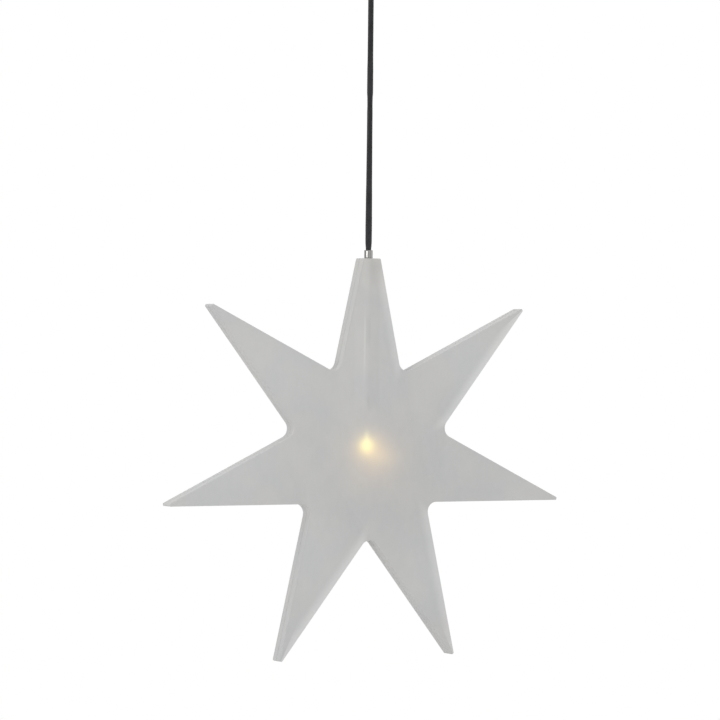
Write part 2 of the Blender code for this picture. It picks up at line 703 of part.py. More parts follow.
def make_cup():
    hole = GRIP_STUB_RADIUS + SEAT_GAP
    inner = CUP_RADIUS - CUP_WALL
    inner_round = CUP_ROUND - CUP_WALL
    down, right, quarter = -math.pi / 2, 0, CORNER_STEPS
    profile = [(CUP_RADIUS, CUP_TOP)]
    profile += arc((CUP_RADIUS - CUP_ROUND, CUP_BOTTOM + CUP_ROUND), CUP_ROUND, right, down, quarter)
    profile += [(hole, CUP_BOTTOM), (hole, CUP_FLOOR)]
    profile += arc((inner - inner_round, CUP_FLOOR + inner_round), inner_round, down, right, quarter)
    profile += [(inner, CUP_TOP)]
    cup = add_object("ceiling_cup", turned(profile, ring=True), black_lacquer, None)
    reach = CUP_RADIUS + CUT_OVERRUN
    holes = rod(CUP_SCREW_RADIUS + SEAT_GAP, -reach, reach, "X", FINE_TURN_STEPS, (0, CUP_SCREW_Z))
    holes = add_cutter("cup_screw_holes", holes, None)
    cut(cup, holes)
    return holes


def stadium(length, width, steps):
    straight = (length - width) / 2
    quarter = math.pi / 2
    right = arc((straight, 0), width / 2, -quarter, quarter, steps)
    left = arc((-straight, 0), width / 2, quarter, 3 * quarter, steps)
    return right + left


def make_strap(screw_holes):
    # The bent strap that is screwed to the ceiling; its top face lies against it
    side = CUP_RADIUS - CUP_WALL - SEAT_GAP
    # A flat leg's outer edge must clear the round cup, so the leg stands in from it
    reach = math.sqrt(side**2 - (STRAP_WIDTH / 2) ** 2)
    inside = reach - STRAP_THICKNESS
    foot = STRAP_UNDERSIDE - STRAP_LEG
    bend, inner_bend = STRAP_BEND, STRAP_BEND - STRAP_THICKNESS
    up, right, quarter = math.pi / 2, 0, CORNER_STEPS
    outline = arc((reach - bend, -bend), bend, up, right, quarter)
    outline += [(reach, foot), (inside, foot)]
    inner_z = STRAP_UNDERSIDE - inner_bend
    outline += arc((inside - inner_bend, inner_z), inner_bend, right, up, quarter)
    outline += [(-x, z) for x, z in reversed(outline)]
    mesh = plate(outline, -STRAP_WIDTH / 2, STRAP_WIDTH / 2)
    strap = add_object("ceiling_strap", shade_round(mesh), zinc_steel, None)
    cut(strap, screw_holes)
    slot = plate(
        stadium(SLOT_LENGTH, SLOT_WIDTH, 2 * CORNER_STEPS),
        STRAP_UNDERSIDE - CUT_OVERRUN,
        CUT_OVERRUN,
        flat=True,
    )
    for side, word in ((-1, "left"), (1, "right")):
        place = (side * reach * SLOT_SHARE, 0, 0)
        cut(strap, add_cutter(f"strap_slot_{word}", slot, None, place))


def make_cup_screws():
    # Slotted pan-head screws through the cup's side into the strap's legs
    seat = SEAT_GAP
    head = CUP_SCREW_HEAD_RADIUS
    height = CUP_SCREW_HEAD_HEIGHT
    profile = [(0, seat + height), (head * math.cos(math.pi / 4), seat + height)]
    profile += [(head, seat + height / 2), (head, seat), (CUP_SCREW_RADIUS, seat)]
    profile += [(CUP_SCREW_RADIUS, -CUP_SCREW_LENGTH), (0, -CUP_SCREW_LENGTH)]
    half_slot = CUP_SCREW_SLOT_WIDTH / 2
    reach = head + CUT_OVERRUN
    floor = seat + height - CUP_SCREW_SLOT_DEPTH
    for side, word in ((-1, "left"), (1, "right")):
        mesh = turned(profile, steps=FINE_TURN_STEPS)
        place = (side * CUP_RADIUS, 0, CUP_SCREW_Z)
        screw = add_object(f"cup_screw_{word}", mesh, zinc_steel, None, place)
        screw.rotation_euler = (0, side * math.pi / 2, 0)
        slot = block((-reach, -half_slot, floor), (reach, half_slot, seat + height + CUT_OVERRUN))
        slot = add_cutter(f"cup_screw_slot_{word}", slot, None, place)
        slot.rotation_euler = screw.rotation_euler
        cut(screw, slot)


def make_grip():
    # The cord grip: a sleeve under the cup with a rounded mouth, its stub through the floor
    up, down, left, right = math.pi / 2, -math.pi / 2, math.pi, 0
    profile = [(GRIP_BORE, GRIP_STUB_TOP), (GRIP_STUB_RADIUS, GRIP_STUB_TOP)]
    profile += [(GRIP_STUB_RADIUS, GRIP_SHOULDER), (GRIP_RADIUS, GRIP_SHOULDER)]
    corner = (GRIP_RADIUS - GRIP_ROUND, SWING_Z + GRIP_ROUND)
    profile += arc(corner, GRIP_ROUND, right, down, CORNER_STEPS)
    mouth = (GRIP_BORE + GRIP_MOUTH_ROUND, SWING_Z + GRIP_MOUTH_ROUND)
    profile += arc(mouth, GRIP_MOUTH_ROUND, down, -left, CORNER_STEPS)
    grip = add_object("cord_grip", turned(profile, ring=True), black_nylon, None)
    height = SWING_Z + GRIP_LENGTH * GRIP_SCREW_SHARE
    hole = rod(
        GRIP_SCREW_RADIUS + SEAT_GAP, 0, GRIP_RADIUS + CUT_OVERRUN, "Y", FINE_TURN_STEPS, (0, height)
    )
    cut(grip, add_cutter("grip_screw_hole", hole, None))
    low, high = CORD_RADIUS + SEAT_GAP, GRIP_RADIUS - GRIP_SCREW_SINK
    mesh = rod(GRIP_SCREW_RADIUS, low, high, "Y", FINE_TURN_STEPS, (0, height))
    add_object("grip_screw", mesh, zinc_steel, None)


def make_grip_nut():
    low, high = CUP_FLOOR + SEAT_GAP, GRIP_NUT_TOP
    corner_radius = GRIP_NUT_FLATS / 2 / math.cos(math.pi / 6)
    corners = [on_ray(corner_radius, math.pi / 3 * i) for i in range(6)]
    nut = add_object("grip_nut", plate(corners, low, high, flat=True), zinc_steel, None)
    bore = rod(GRIP_STUB_RADIUS + SEAT_GAP, low - CUT_OVERRUN, high + CUT_OVERRUN)
    cut(nut, add_cutter("grip_nut_bore", bore, None))


def make_terminal_block():
    low = (-BLOCK_LENGTH / 2, -BLOCK_DEPTH / 2, BLOCK_Z - BLOCK_HEIGHT / 2)
    high = (BLOCK_LENGTH / 2, BLOCK_DEPTH / 2, BLOCK_Z + BLOCK_HEIGHT / 2)
    body = add_object("terminal_block", block(low, high), white_nylon, None)
    round_edges(body, BLOCK_ROUND, 1)
    reach = BLOCK_DEPTH / 2 + CUT_OVERRUN
    for side, word in ((-1, "left"), (1, "right")):
        across = side * TERMINAL_PITCH / 2
        bore = rod(WIRE_RADIUS + SEAT_GAP, -reach, reach, "Y", FINE_TURN_STEPS, (across, BLOCK_Z))
        cut(body, add_cutter(f"terminal_bore_{word}", bore, None))
        wide, start = TERMINAL_SCREW_RADIUS + SEAT_GAP, low[2] - CUT_OVERRUN
        well = rod(wide, start, BLOCK_Z, "Z", FINE_TURN_STEPS, (across, 0))
        cut(body, add_cutter(f"terminal_well_{word}", well, None))
        bottom = low[2] + TERMINAL_SCREW_SINK
        top = BLOCK_Z - WIRE_RADIUS - SEAT_GAP
        screw = rod(TERMINAL_SCREW_RADIUS, bottom, top, "Z", FINE_TURN_STEPS, (across, 0))
        add_object(f"terminal_screw_{word}", screw, zinc_steel, None)


def smooth_route(corners, spacing):
    # Points along a smooth curve that passes through every corner of a route
    corners = [Vector(corner) for corner in corners]
    ends = [2 * corners[0] - corners[1]] + corners + [2 * corners[-1] - corners[-2]]
    points = [corners[0]]
    for before, start, finish, after in zip(ends, ends[1:], ends[2:], ends[3:]):
        count = max(round((finish - start).length / spacing), 1)
        for i in range(1, count + 1):
            t = i / count
            bent = (finish - before) * t + (2 * before - 5 * start + 4 * finish - after) * t**2
            bent += (3 * start - before - 3 * finish + after) * t**3
            points.append(start + bent / 2)
    return points


def make_cup_wires():
    # From the cord's upper end out in front of the block and back into its bores
    low = cup_jacket_end() + SEAT_GAP
    front = -BLOCK_DEPTH / 2
    outside = front - CUP_WIRE_REACH
    middle = low + (BLOCK_Z - low) * CUP_WIRE_RISE_SHARE
    rows = (("cup_wire_positive", -1, white_insulation), ("cup_wire_negative", 1, grey_insulation))
    for name, side, material in rows:
        near, far = side * WIRE_X, side * TERMINAL_PITCH / 2
        route = [(near, 0, low), (near, -WIRE_RADIUS, low + WIRE_RADIUS)]
        route += [((near + far) / 2, outside, middle)]
        route += [(far, front - CUP_WIRE_REACH / 2, BLOCK_Z), (far, front, BLOCK_Z)]
        route += [(far, front + WIRE_INSERTION, BLOCK_Z)]
        mesh = tube(smooth_route(route, WIRE_RADIUS * 2), WIRE_RADIUS, WIRE_BEVEL_RESOLUTION)
        add_object(name, mesh, material, None)


def make_ceiling_fitting():
    screw_holes = make_cup()
    make_strap(screw_holes)
    make_cup_screws()
    make_grip()
    make_grip_nut()
    make_terminal_block()
    make_cup_wires()


def make_hanging_star():
    # The pivots stand on their joints' axes: the cord swings both ways, the star turns below it
    swing_side = add_pivot("swing_side_axis", None, (0, 0, SWING_Z))
    swing_front = add_pivot("swing_front_axis", swing_side, (0, 0, 0))
    turn = add_pivot("star_turn_axis", swing_front, (0, 0, FERRULE_TOP - SWING_Z))
    star = add_pivot("star_centre", turn, (0, 0, STAR_Z - FERRULE_TOP))
    make_cord_bend(swing_side)
    make_cord(swing_front)
    make_shells(star)
    make_ferrule(star)
    make_crimp(star)
    make_cord_ends(star)
    make_wires(star)
    make_resistor(star)
    make_sleeves(star)
    make_led(star)
    make_led_leads(star)


make_ceiling_fitting()
make_hanging_star()
bpy.context.view_layer.update()
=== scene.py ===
import math

import bmesh
import bpy
from mathutils import Matrix, Vector


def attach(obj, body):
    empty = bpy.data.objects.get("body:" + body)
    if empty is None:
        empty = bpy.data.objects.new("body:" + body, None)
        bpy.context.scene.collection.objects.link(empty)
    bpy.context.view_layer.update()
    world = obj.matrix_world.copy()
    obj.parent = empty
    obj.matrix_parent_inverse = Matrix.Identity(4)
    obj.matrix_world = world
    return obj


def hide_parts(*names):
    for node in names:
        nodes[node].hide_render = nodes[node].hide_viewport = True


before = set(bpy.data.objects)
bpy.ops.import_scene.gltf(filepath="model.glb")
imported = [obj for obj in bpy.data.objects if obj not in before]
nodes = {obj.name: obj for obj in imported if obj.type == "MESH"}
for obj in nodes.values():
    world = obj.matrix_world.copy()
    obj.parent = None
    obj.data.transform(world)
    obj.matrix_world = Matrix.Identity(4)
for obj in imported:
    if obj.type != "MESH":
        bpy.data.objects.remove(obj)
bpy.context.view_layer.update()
scene = bpy.context.scene
scene.view_settings.view_transform = "Standard"
print("frame loaded:", len(nodes), "nodes")

# Metres, +Z up, the star's face to -Y, the origin on the ceiling
starCentre = Vector((0, 0, -0.507287))
swingHeight = -0.0408
ferruleTop = -0.3058


def placed(name, data):
    thing = bpy.data.objects.new(name, data)
    scene.collection.objects.link(thing)
    return thing


# Camera: the star's centre and size in the picture give the lens and the aim
cameraSet = {
    "azimuth": -30.3, "elevation": 0.23, "roll": 0.57, "distance": 3.318,
    "picture": 720, "tipRadius": 0.237, "tipPixels": 235.5, "centreAt": (366.5, 450.4),
    "sensor": 36,
}


def makeCamera(c):
    a, e, r = (math.radians(c[k]) for k in ("azimuth", "elevation", "roll"))
    back = Vector((math.sin(a) * math.cos(e), -math.cos(a) * math.cos(e), math.sin(e)))
    right = Vector((math.cos(a), math.sin(a), 0))
    up = back.cross(right)
    right, up = right * math.cos(r) + up * math.sin(r), up * math.cos(r) - right * math.sin(r)
    perPixel = c["tipRadius"] / c["tipPixels"]
    across = (c["centreAt"][0] - c["picture"] / 2) * perPixel
    above = (c["picture"] / 2 - c["centreAt"][1]) * perPixel
    data = bpy.data.cameras.new("camera")
    data.sensor_width = c["sensor"]
    data.lens = c["sensor"] / c["picture"] * c["distance"] / perPixel
    camera = placed("camera", data)
    place = Matrix((right, up, back)).transposed().to_4x4()
    place.translation = starCentre + back * c["distance"] - right * across - up * above
    camera.matrix_world = place
    scene.camera = camera


makeCamera(cameraSet)
print("camera placed")


# Node helpers: every finish below is wired with these

def newMaterial(name, steady=None):
    material = bpy.data.materials.new(name)
    material.use_nodes = True
    surface = material.node_tree.nodes["Principled BSDF"]
    for socket, value in (steady or {}).items():
        surface.inputs[socket].default_value = value
    return material, material.node_tree, surface


def feed(tree, socket, value):
    if isinstance(value, bpy.types.NodeSocket):
        tree.links.new(value, socket)
    else:
        socket.default_value = value


def dress(tree, surface, tone, roughness, normal):
    for socket, value in (("Base Color", tone), ("Roughness", roughness), ("Normal", normal)):
        feed(tree, surface.inputs[socket], value)


def calc(tree, operation, *terms, kind="ShaderNodeMath"):
    node = tree.nodes.new(kind)
    node.operation = operation
    for socket, term in zip(node.inputs, terms):
        feed(tree, socket, term)
    return node.outputs[0]


def chained(tree, operation, terms, kind="ShaderNodeMath"):
    total, *others = terms
    for term in others:
        total = calc(tree, operation, total, term, kind=kind)
    return total


def summed(tree, *terms):
    return chained(tree, "ADD", terms)


def product(tree, *terms):
    return chained(tree, "MULTIPLY", terms)


def minus(tree, first, second):
    return calc(tree, "SUBTRACT", first, second)


def squareSum(tree, across, above):
    return summed(tree, product(tree, across, across), product(tree, above, above))


def scaled(tree, value, low, high, newLow=0.0, newHigh=1.0, smooth=True):
    node = tree.nodes.new("ShaderNodeMapRange")
    node.interpolation_type = "SMOOTHSTEP" if smooth else "LINEAR"
    for socket, term in zip(node.inputs, (value, low, high, newLow, newHigh)):
        feed(tree, socket, term)
    return node.outputs[0]


def between(tree, value, start, end, soft):
    # 1 from start to end, with a soft edge of that width at both
    rise = scaled(tree, value, start - soft / 2, start + soft / 2)
    fall = scaled(tree, value, end - soft / 2, end + soft / 2, 1.0, 0.0)
    return product(tree, rise, fall)


def spot(tree, x, z, across, above, reach, gain):
    # A soft round place: the full gain in its middle, none at its reach
    squares = squareSum(tree, minus(tree, x, across), minus(tree, z, above))
    return scaled(tree, calc(tree, "SQRT", squares), 0.0, reach, gain, 0.0)


def blended(tree, share, first, second):
    node = tree.nodes.new("ShaderNodeMix")
    node.data_type = "RGBA"
    feed(tree, node.inputs[0], share)
    for index, colour in ((6, first), (7, second)):  # the two colour sockets
        feed(tree, node.inputs[index], (*colour, 1) if isinstance(colour, tuple) else colour)
    return node.outputs[2]


def shade(colour, factor):
    return tuple(min(c * factor, 1) for c in colour)


def tinted(tree, colour, factor):
    node = tree.nodes.new("ShaderNodeVectorMath")
    node.operation = "SCALE"
    feed(tree, node.inputs[0], colour)
    feed(tree, node.inputs["Scale"], factor)
    return node.outputs[0]


def objectPlace(tree):
    return tree.nodes.new("ShaderNodeTexCoord").outputs["Object"]


def axes(tree, place):
    return tree.links.new(place, tree.nodes.new("ShaderNodeSeparateXYZ").inputs[0]).to_node.outputs


def stretched(tree, place, factors, offset=(0, 0, 0)):
    node = tree.nodes.new("ShaderNodeMapping")
    feed(tree, node.inputs["Vector"], place)
    node.inputs["Location"].default_value = offset
    node.inputs["Scale"].default_value = factors
    return node.outputs[0]


def noise(tree, place, scale, detail, roughness, distortion=0.0):
    node = tree.nodes.new("ShaderNodeTexNoise")
    feed(tree, node.inputs["Vector"], place)
    for socket, value in (("Scale", scale), ("Detail", detail), ("Roughness", roughness),
                          ("Distortion", distortion)):
        node.inputs[socket].default_value = value
    return node.outputs[0]


def raised(tree, height, strength, distance, under=None):
    node = tree.nodes.new("ShaderNodeBump")
    node.inputs["Strength"].default_value = strength
    node.inputs["Distance"].default_value = distance
    feed(tree, node.inputs["Height"], height)
    if under:
        feed(tree, node.inputs["Normal"], under)
    return node.outputs[0]


def seenStraight(tree):
    # 1 for rays from the eye, from a mirror or through glass, 0 for the ones that light the scene
    rays = tree.nodes.new("ShaderNodeLightPath").outputs
    kinds = ("Is Camera Ray", "Is Glossy Ray", "Is Transmission Ray")
    return chained(tree, "MAXIMUM", [rays[kind] for kind in kinds])


# In the sets below a noise is (scale, detail, roughness) and sometimes a distortion, a bump is
# (strength, height), and a band is (from, to, value at from, value at to), or 0 to 1 without them

# Frosted plastic of the star: metres from the star's centre, X to the right, Z up, Y to the back.
# A rim paints light or shade along the edges that face its way, painted light on the right-facing
# ones and painted shade on the left-facing ones, and the wall runs from front to back
frostSet = {
    "colour": (0.57, 0.571, 0.567), "warm": (0.583, 0.575, 0.556), "cool": (0.552, 0.558, 0.565),
    "cloud": (21, 3.0, 0.55, 0.4), "cloudWarmth": (0.35, 0.65),
    "cloudGain": (0.3, 0.7, -0.012, 0.012),
    "mottle": (160, 4.0, 0.6), "mottleStretch": (1, 1, 0.6), "mottleShare": (0.2, 0.8, 0.25, 0.75),
    "mottleGain": (0.3, 0.7, -0.008, 0.008),
    "grain": (2600, 3.0, 0.7), "grainBump": (0.18, 0.00008), "roughness": (0.25, 0.75, 0.4, 0.52),
    "flow": (34, 2.0, 0.4), "flowStretch": (1, 1, 0.5), "flowBump": (0.25, 0.0006),
    "halfTipTurn": math.pi / 7, "edgeTurn": 3 * math.pi / 7, "edgeDistance": 0.052737,
    "rims": {
        "left": {"width": 0.002, "gain": -0.06, "facing": math.radians(-80), "fade": 0.3},
        "right": {"width": 0.012, "gain": 0.28, "facing": math.radians(110), "fade": 0.12},
    },
    "rimFocus": 3.0, "markFade": 0.012, "backEdgeShade": (0.0062, 0.0074, 0.0, -0.1),
    "warmTop": (-0.001, 0.19, 0.055, 1.0),
    "wallLight": (0.11, 0.13, 0.14, 0.07), "wall": (-0.0071, 0.0069, 0.001),
}
# Soft places of painted light and painted shade on the face, where it is lit more or less: (x, z,
# reach, gain)
lightAndShadePlaces = {
    "lowerRightArm": (0.069, -0.13, 0.06, 0.05),
    "lowerLeftArm": (-0.055, -0.115, 0.06, 0.05),
    "rightTip": (0.18, -0.045, 0.05, 0.03),
    "leftNotch": (-0.093, 0.071, 0.06, 0.03),
    "rightNotch": (0.11, 0.08, 0.05, 0.03),
    "lowerLeftTip": (-0.07, -0.19, 0.09, 0.04),
    "upperRightTip": (0.14, 0.11, 0.1, 0.05),
    "upperLeftArm": (-0.12, 0.1, 0.1, 0.02),
    "leftArm": (-0.165, -0.04, 0.1, 0.045),
    "middle": (0.02, -0.03, 0.09, -0.03),
    "underFerrule": (0.008, 0.183, 0.026, -0.09),
    "topRight": (0.0125, 0.19, 0.017, -0.08),
}
# The two wires behind the top arm's face, painted on it as they show through, with painted light
# strips and lines beside them and painted shade to their right: (x from, x to, soft edge, z from, z
# to, gain)
wireMarksAndLight = {
    "lightStrip": (-0.019, -0.0061, 0.005, 0.045, 0.122, 0.028),
    "lightLine": (-0.0086, -0.0068, 0.0012, 0.085, 0.132, 0.055),
    "topStrip": (-0.0115, -0.003, 0.006, 0.165, 0.21, 0.03),
    "faintLine": (-0.0088, -0.0066, 0.0014, 0.07, 0.15, 0.035),
    "darkLine": (-0.006, -0.0012, 0.0014, 0.106, 0.134, -0.05),
    "darkStrip": (-0.003, 0.0095, 0.004, 0.041, 0.19, -0.035),
    "darkTick": (-0.0045, -0.0015, 0.001, 0.044, 0.056, -0.04),
}
# The lit LED's light, painted on the face as a glow in its emission: (x, z, spread x, spread z,
# colour)
frontGlow = {
    "core": (-0.0047, 0.0056, 0.0074, 0.0074, (0.37, 0.37, 0.08)),
    "flame": (-0.0044, 0.0145, 0.003, 0.0066, (0.11, 0.11, 0.05)),
    "bloom": (-0.0025, 0.0031, 0.0153, 0.0127, (0.27, 0.17, 0.025)),
    "skirt": (0.0146, -0.0065, 0.015, 0.012, (0.09, 0.065, 0.02)),
    "halo": (0.0065, -0.0075, 0.0314, 0.03, (0.1, 0.05, 0.004)),
}
# The same painted glow of the LED on the rear face
rearGlow = {
    "core": (0, 0.006, 0.0075, 0.008, (0.33, 0.32, 0.11)),
    "bloom": (0, 0.0035, 0.0155, 0.013, (0.25, 0.16, 0.033)),
    "halo": (0, -0.004, 0.03, 0.028, (0.09, 0.05, 0.006)),
}
# What differs between the two halves
frontFace = {"glow": frontGlow, "marks": wireMarksAndLight, "rimShare": 1.0, "gloss": 0.5}
rearFace = {"glow": rearGlow, "marks": {}, "rimShare": 0.5, "gloss": 0.2}


def glowOf(tree, x, z, spots):
    lights = []
    for across, above, wide, tall, colour in spots.values():
        dx = calc(tree, "DIVIDE", minus(tree, x, across), wide)
        dz = calc(tree, "DIVIDE", minus(tree, z, above), tall)
        share = calc(tree, "EXPONENT", product(tree, squareSum(tree, dx, dz), -1.0))
        lights.append(tinted(tree, colour, share))
    return chained(tree, "ADD", lights, kind="ShaderNodeVectorMath")


def rimLightAndShade(tree, x, z, s, share):
    # How far a point lies inside the nearest star edge, and how far that edge faces each rim's way
    reach = calc(tree, "SQRT", squareSum(tree, x, z))
    turn = calc(tree, "ARCTAN2", x, z)
    folded = calc(tree, "PINGPONG", turn, s["halfTipTurn"])
    off = minus(tree, s["edgeTurn"], folded)
    inside = minus(tree, s["edgeDistance"], product(tree, reach, calc(tree, "COSINE", off)))
    pitch = 2 * s["halfTipTurn"]
    arm = product(tree, calc(tree, "ROUND", calc(tree, "DIVIDE", turn, pitch)), pitch)
    side = calc(tree, "SIGN", minus(tree, turn, arm))
    facing = summed(tree, arm, product(tree, side, s["edgeTurn"]))
    fromNotch = minus(tree, s["halfTipTurn"], folded)
    # each rim is a band of painted light or painted shade along the edges that face its way
    bands = []
    for rim in s["rims"].values():
        lean = calc(tree, "COSINE", minus(tree, facing, rim["facing"]))
        weight = calc(tree, "POWER", calc(tree, "MAXIMUM", lean, 0.0), s["rimFocus"])
        band = scaled(tree, inside, 0.0, rim["width"], rim["gain"] * share, 0.0)
        bands.append(product(tree, band, scaled(tree, fromNotch, 0.0, rim["fade"]), weight))
    return summed(tree, *bands)


def frostGains(tree, x, y, z, s, face):
    # Places, wire marks, rims, the back edge and side walls that are lighter or darker than the
    # plain plastic: painted light and shade, with the wires as they show through
    gains = [spot(tree, x, z, *values) for values in lightAndShadePlaces.values()]
    # the wires as they show through, and their painted light and shade
    for start, end, soft, low, high, gain in face["marks"].values():
        across = between(tree, x, start, end, soft)
        along = between(tree, z, low, high, s["markFade"])
        gains.append(product(tree, across, along, gain))
    gains.append(rimLightAndShade(tree, x, z, s, face["rimShare"]))
    # painted shade along the rear shell's rounded back edge
    gains.append(scaled(tree, y, *s["backEdgeShade"]))
    # painted light on the side walls near the upper right arm, which face up and left
    onWall = between(tree, y, *s["wall"])
    gains.append(product(tree, onWall, spot(tree, x, z, *s["wallLight"])))
    return gains


def makeFrosted(name, s, face):
    material, tree, surface = newMaterial(
        name, {"Emission Strength": 1.0, "Specular IOR Level": face["gloss"]})
    place = objectPlace(tree)
    x, y, z = axes(tree, place)
    z = minus(tree, z, starCentre.z)
    cloud = noise(tree, place, *s["cloud"])
    mottle = noise(tree, stretched(tree, place, s["mottleStretch"]), *s["mottle"])
    tone = blended(tree, scaled(tree, cloud, *s["cloudWarmth"]), s["cool"], s["warm"])
    tone = blended(tree, scaled(tree, mottle, *s["mottleShare"]), tone, s["colour"])
    tone = blended(tree, spot(tree, x, z, *s["warmTop"]), tone, s["warm"])
    gains = [scaled(tree, cloud, *s["cloudGain"]), scaled(tree, mottle, *s["mottleGain"])]
    gains += frostGains(tree, x, y, z, s, face)
    tone = tinted(tree, tone, summed(tree, 1.0, summed(tree, *gains)))
    grain = noise(tree, place, *s["grain"])
    flow = noise(tree, stretched(tree, place, s["flowStretch"]), *s["flow"])
    bent = raised(tree, flow, *s["flowBump"])
    dress(tree, surface, tone, scaled(tree, grain, *s["roughness"]),
          raised(tree, grain, *s["grainBump"], bent))
    # the LED's light, painted on the shell as a glow
    feed(tree, surface.inputs["Emission Color"], glowOf(tree, x, z, face["glow"]))
    return material


# Turned or drawn metal: fine lines round it, cloudy oxide and small bright scratches
steelSet = {
    "lineDetail": (4.0, 0.7), "lineStretch": 0.04, "lineStrength": 0.1,
    "lineRoughness": (0.3, 0.7, -0.04, 0.04),
    "cloud": (320, 3.0, 0.6), "oxide": (0.3, 0.7), "cloudy": (0.2, 0.8),
    "scratches": (5200, 2.0, 0.6), "scratchStretch": (1, 0.05, 0.6), "scratchOffset": (3, 1, 2),
    "scratched": (0.62, 0.75, 0.0, 0.3), "brighter": 1.25,
}
steels = {
    "turned": {"colour": (0.26, 0.256, 0.249), "roughness": (0.1105, 0.156), "wear": 0.04,
               "lineScale": 5200, "lineAxis": 2, "lineHeight": 0.00001},
    "zinc": {"colour": (0.5, 0.51, 0.52), "roughness": (0.323, 0.456), "wear": 0.12,
             "lineScale": 2600, "lineAxis": 0, "lineHeight": 0.00003},
    "tinned": {"colour": (0.7, 0.69, 0.66), "roughness": (0.2125, 0.3), "wear": 0.08,
               "lineScale": 3600, "lineAxis": 2, "lineHeight": 0.00003},
}


def makeSteel(name, s, metal):
    material, tree, surface = newMaterial(name, {"Metallic": 1.0})
    place = objectPlace(tree)
    factors = [s["lineStretch"]] * 3
    factors[metal["lineAxis"]] = 1
    lines = noise(tree, stretched(tree, place, factors), metal["lineScale"], *s["lineDetail"])
    cloud = noise(tree, place, *s["cloud"])
    across = stretched(tree, place, s["scratchStretch"], s["scratchOffset"])
    scratches = noise(tree, across, *s["scratches"])
    colour = metal["colour"]
    dull = shade(colour, 1 - 2 * metal["wear"])
    tone = blended(tree, scaled(tree, cloud, *s["oxide"]), dull, colour)
    bright = shade(colour, s["brighter"])
    tone = blended(tree, scaled(tree, scratches, *s["scratched"]), tone, bright)
    rough = summed(tree, scaled(tree, cloud, *s["cloudy"], *metal["roughness"]),
                   scaled(tree, lines, *s["lineRoughness"]))
    dress(tree, surface, tone, rough,
          raised(tree, lines, s["lineStrength"], metal["lineHeight"]))
    return material


# Moulded nylon: spark-eroded mould texture with faint flow clouds
nylonSet = {
    "cloud": (150, 3.0, 0.5), "clouded": (0.3, 0.7),
    "grain": (2300, 3.0, 0.65), "grained": (0.3, 0.8, 0.0, 0.35), "grainy": (0.2, 0.8),
    "grainBump": (0.35, 0.00008),
}
nylons = {
    "grip": {"colour": (0.026, 0.026, 0.027), "variation": 0.2, "roughness": (0.44, 0.58),
             "gloss": 0.4},
    "block": {"colour": (0.78, 0.78, 0.75), "variation": 0.06, "roughness": (0.4, 0.54),
              "gloss": 0.5},
}


def makeNylon(name, s, nylon):
    material, tree, surface = newMaterial(name, {"Specular IOR Level": nylon["gloss"]})
    place = objectPlace(tree)
    cloud = noise(tree, place, *s["cloud"])
    grain = noise(tree, place, *s["grain"])
    darker = shade(nylon["colour"], 1 - nylon["variation"])
    lighter = shade(nylon["colour"], 1 + nylon["variation"])
    tone = blended(tree, scaled(tree, cloud, *s["clouded"]), darker, lighter)
    tone = blended(tree, scaled(tree, grain, *s["grained"]), tone, darker)
    dress(tree, surface, tone, scaled(tree, grain, *s["grainy"], *nylon["roughness"]),
          raised(tree, grain, *s["grainBump"]))
    return material


# Sprayed lacquer of the cup: orange peel, dust specks and paler rubbed places
lacquerSet = {
    "colour": (0.022, 0.022, 0.024), "rubbed": 1.7, "dustColour": (0.12, 0.12, 0.115),
    "coat": 0.25, "coatRoughness": 0.35, "peelScale": 900, "peelBump": (0.12, 0.0002),
    "cloud": (60, 3.0, 0.55), "rubbedBand": (0.35, 0.7, 0.0, 0.5),
    "dust": (1500, 2.0, 0.5), "dustBand": (0.72, 0.8, 0.0, 0.3),
    "roughness": (0.3, 0.7, 0.37, 0.51),
}


def makeLacquer(name, s):
    material, tree, surface = newMaterial(
        name, {"Coat Weight": s["coat"], "Coat Roughness": s["coatRoughness"]})
    place = objectPlace(tree)
    peel = tree.nodes.new("ShaderNodeTexVoronoi")
    peel.feature = "SMOOTH_F1"
    peel.inputs["Scale"].default_value = s["peelScale"]
    feed(tree, peel.inputs["Vector"], place)
    cloud = noise(tree, place, *s["cloud"])
    dust = noise(tree, place, *s["dust"])
    rubbed = shade(s["colour"], s["rubbed"])
    tone = blended(tree, scaled(tree, cloud, *s["rubbedBand"]), s["colour"], rubbed)
    tone = blended(tree, scaled(tree, dust, *s["dustBand"]), tone, s["dustColour"])
    dress(tree, surface, tone, scaled(tree, cloud, *s["roughness"]),
          raised(tree, peel.outputs["Distance"], *s["peelBump"]))
    return material


# Braided sleeve of the cord: strands per way round, the length of one turn, the yarns in a strand,
# and how the crown of a strand falls to its sides and ends
braidSet = {
    "strands": 8, "turnLength": 0.021, "yarns": 5,
    "crownFall": 3.4, "crownMean": 0.72, "crownSwing": 0.28,
    "colour": (0.021, 0.0215, 0.024), "pale": (0.05, 0.05, 0.054), "dark": (0.009, 0.009, 0.01),
    "gloss": 0.22, "sheen": 0.12, "sheenRoughness": 0.6,
    "cloud": (170, 3.0, 0.6), "cloudStretch": (1, 1, 0.35), "faded": (0.3, 0.7, 0.0, 0.7),
    "grooveShade": (-1.0, 0.1, 0.75, 0.0), "yarnBump": (0.6, 0.00012),
    "fuzz": (5200, 3.0, 0.7), "fuzzed": (0.6, 0.8, 0.0, 0.5), "fuzzBump": (0.4, 0.00006),
    "roughness": (0.2, 0.8, 0.8, 0.98),
}


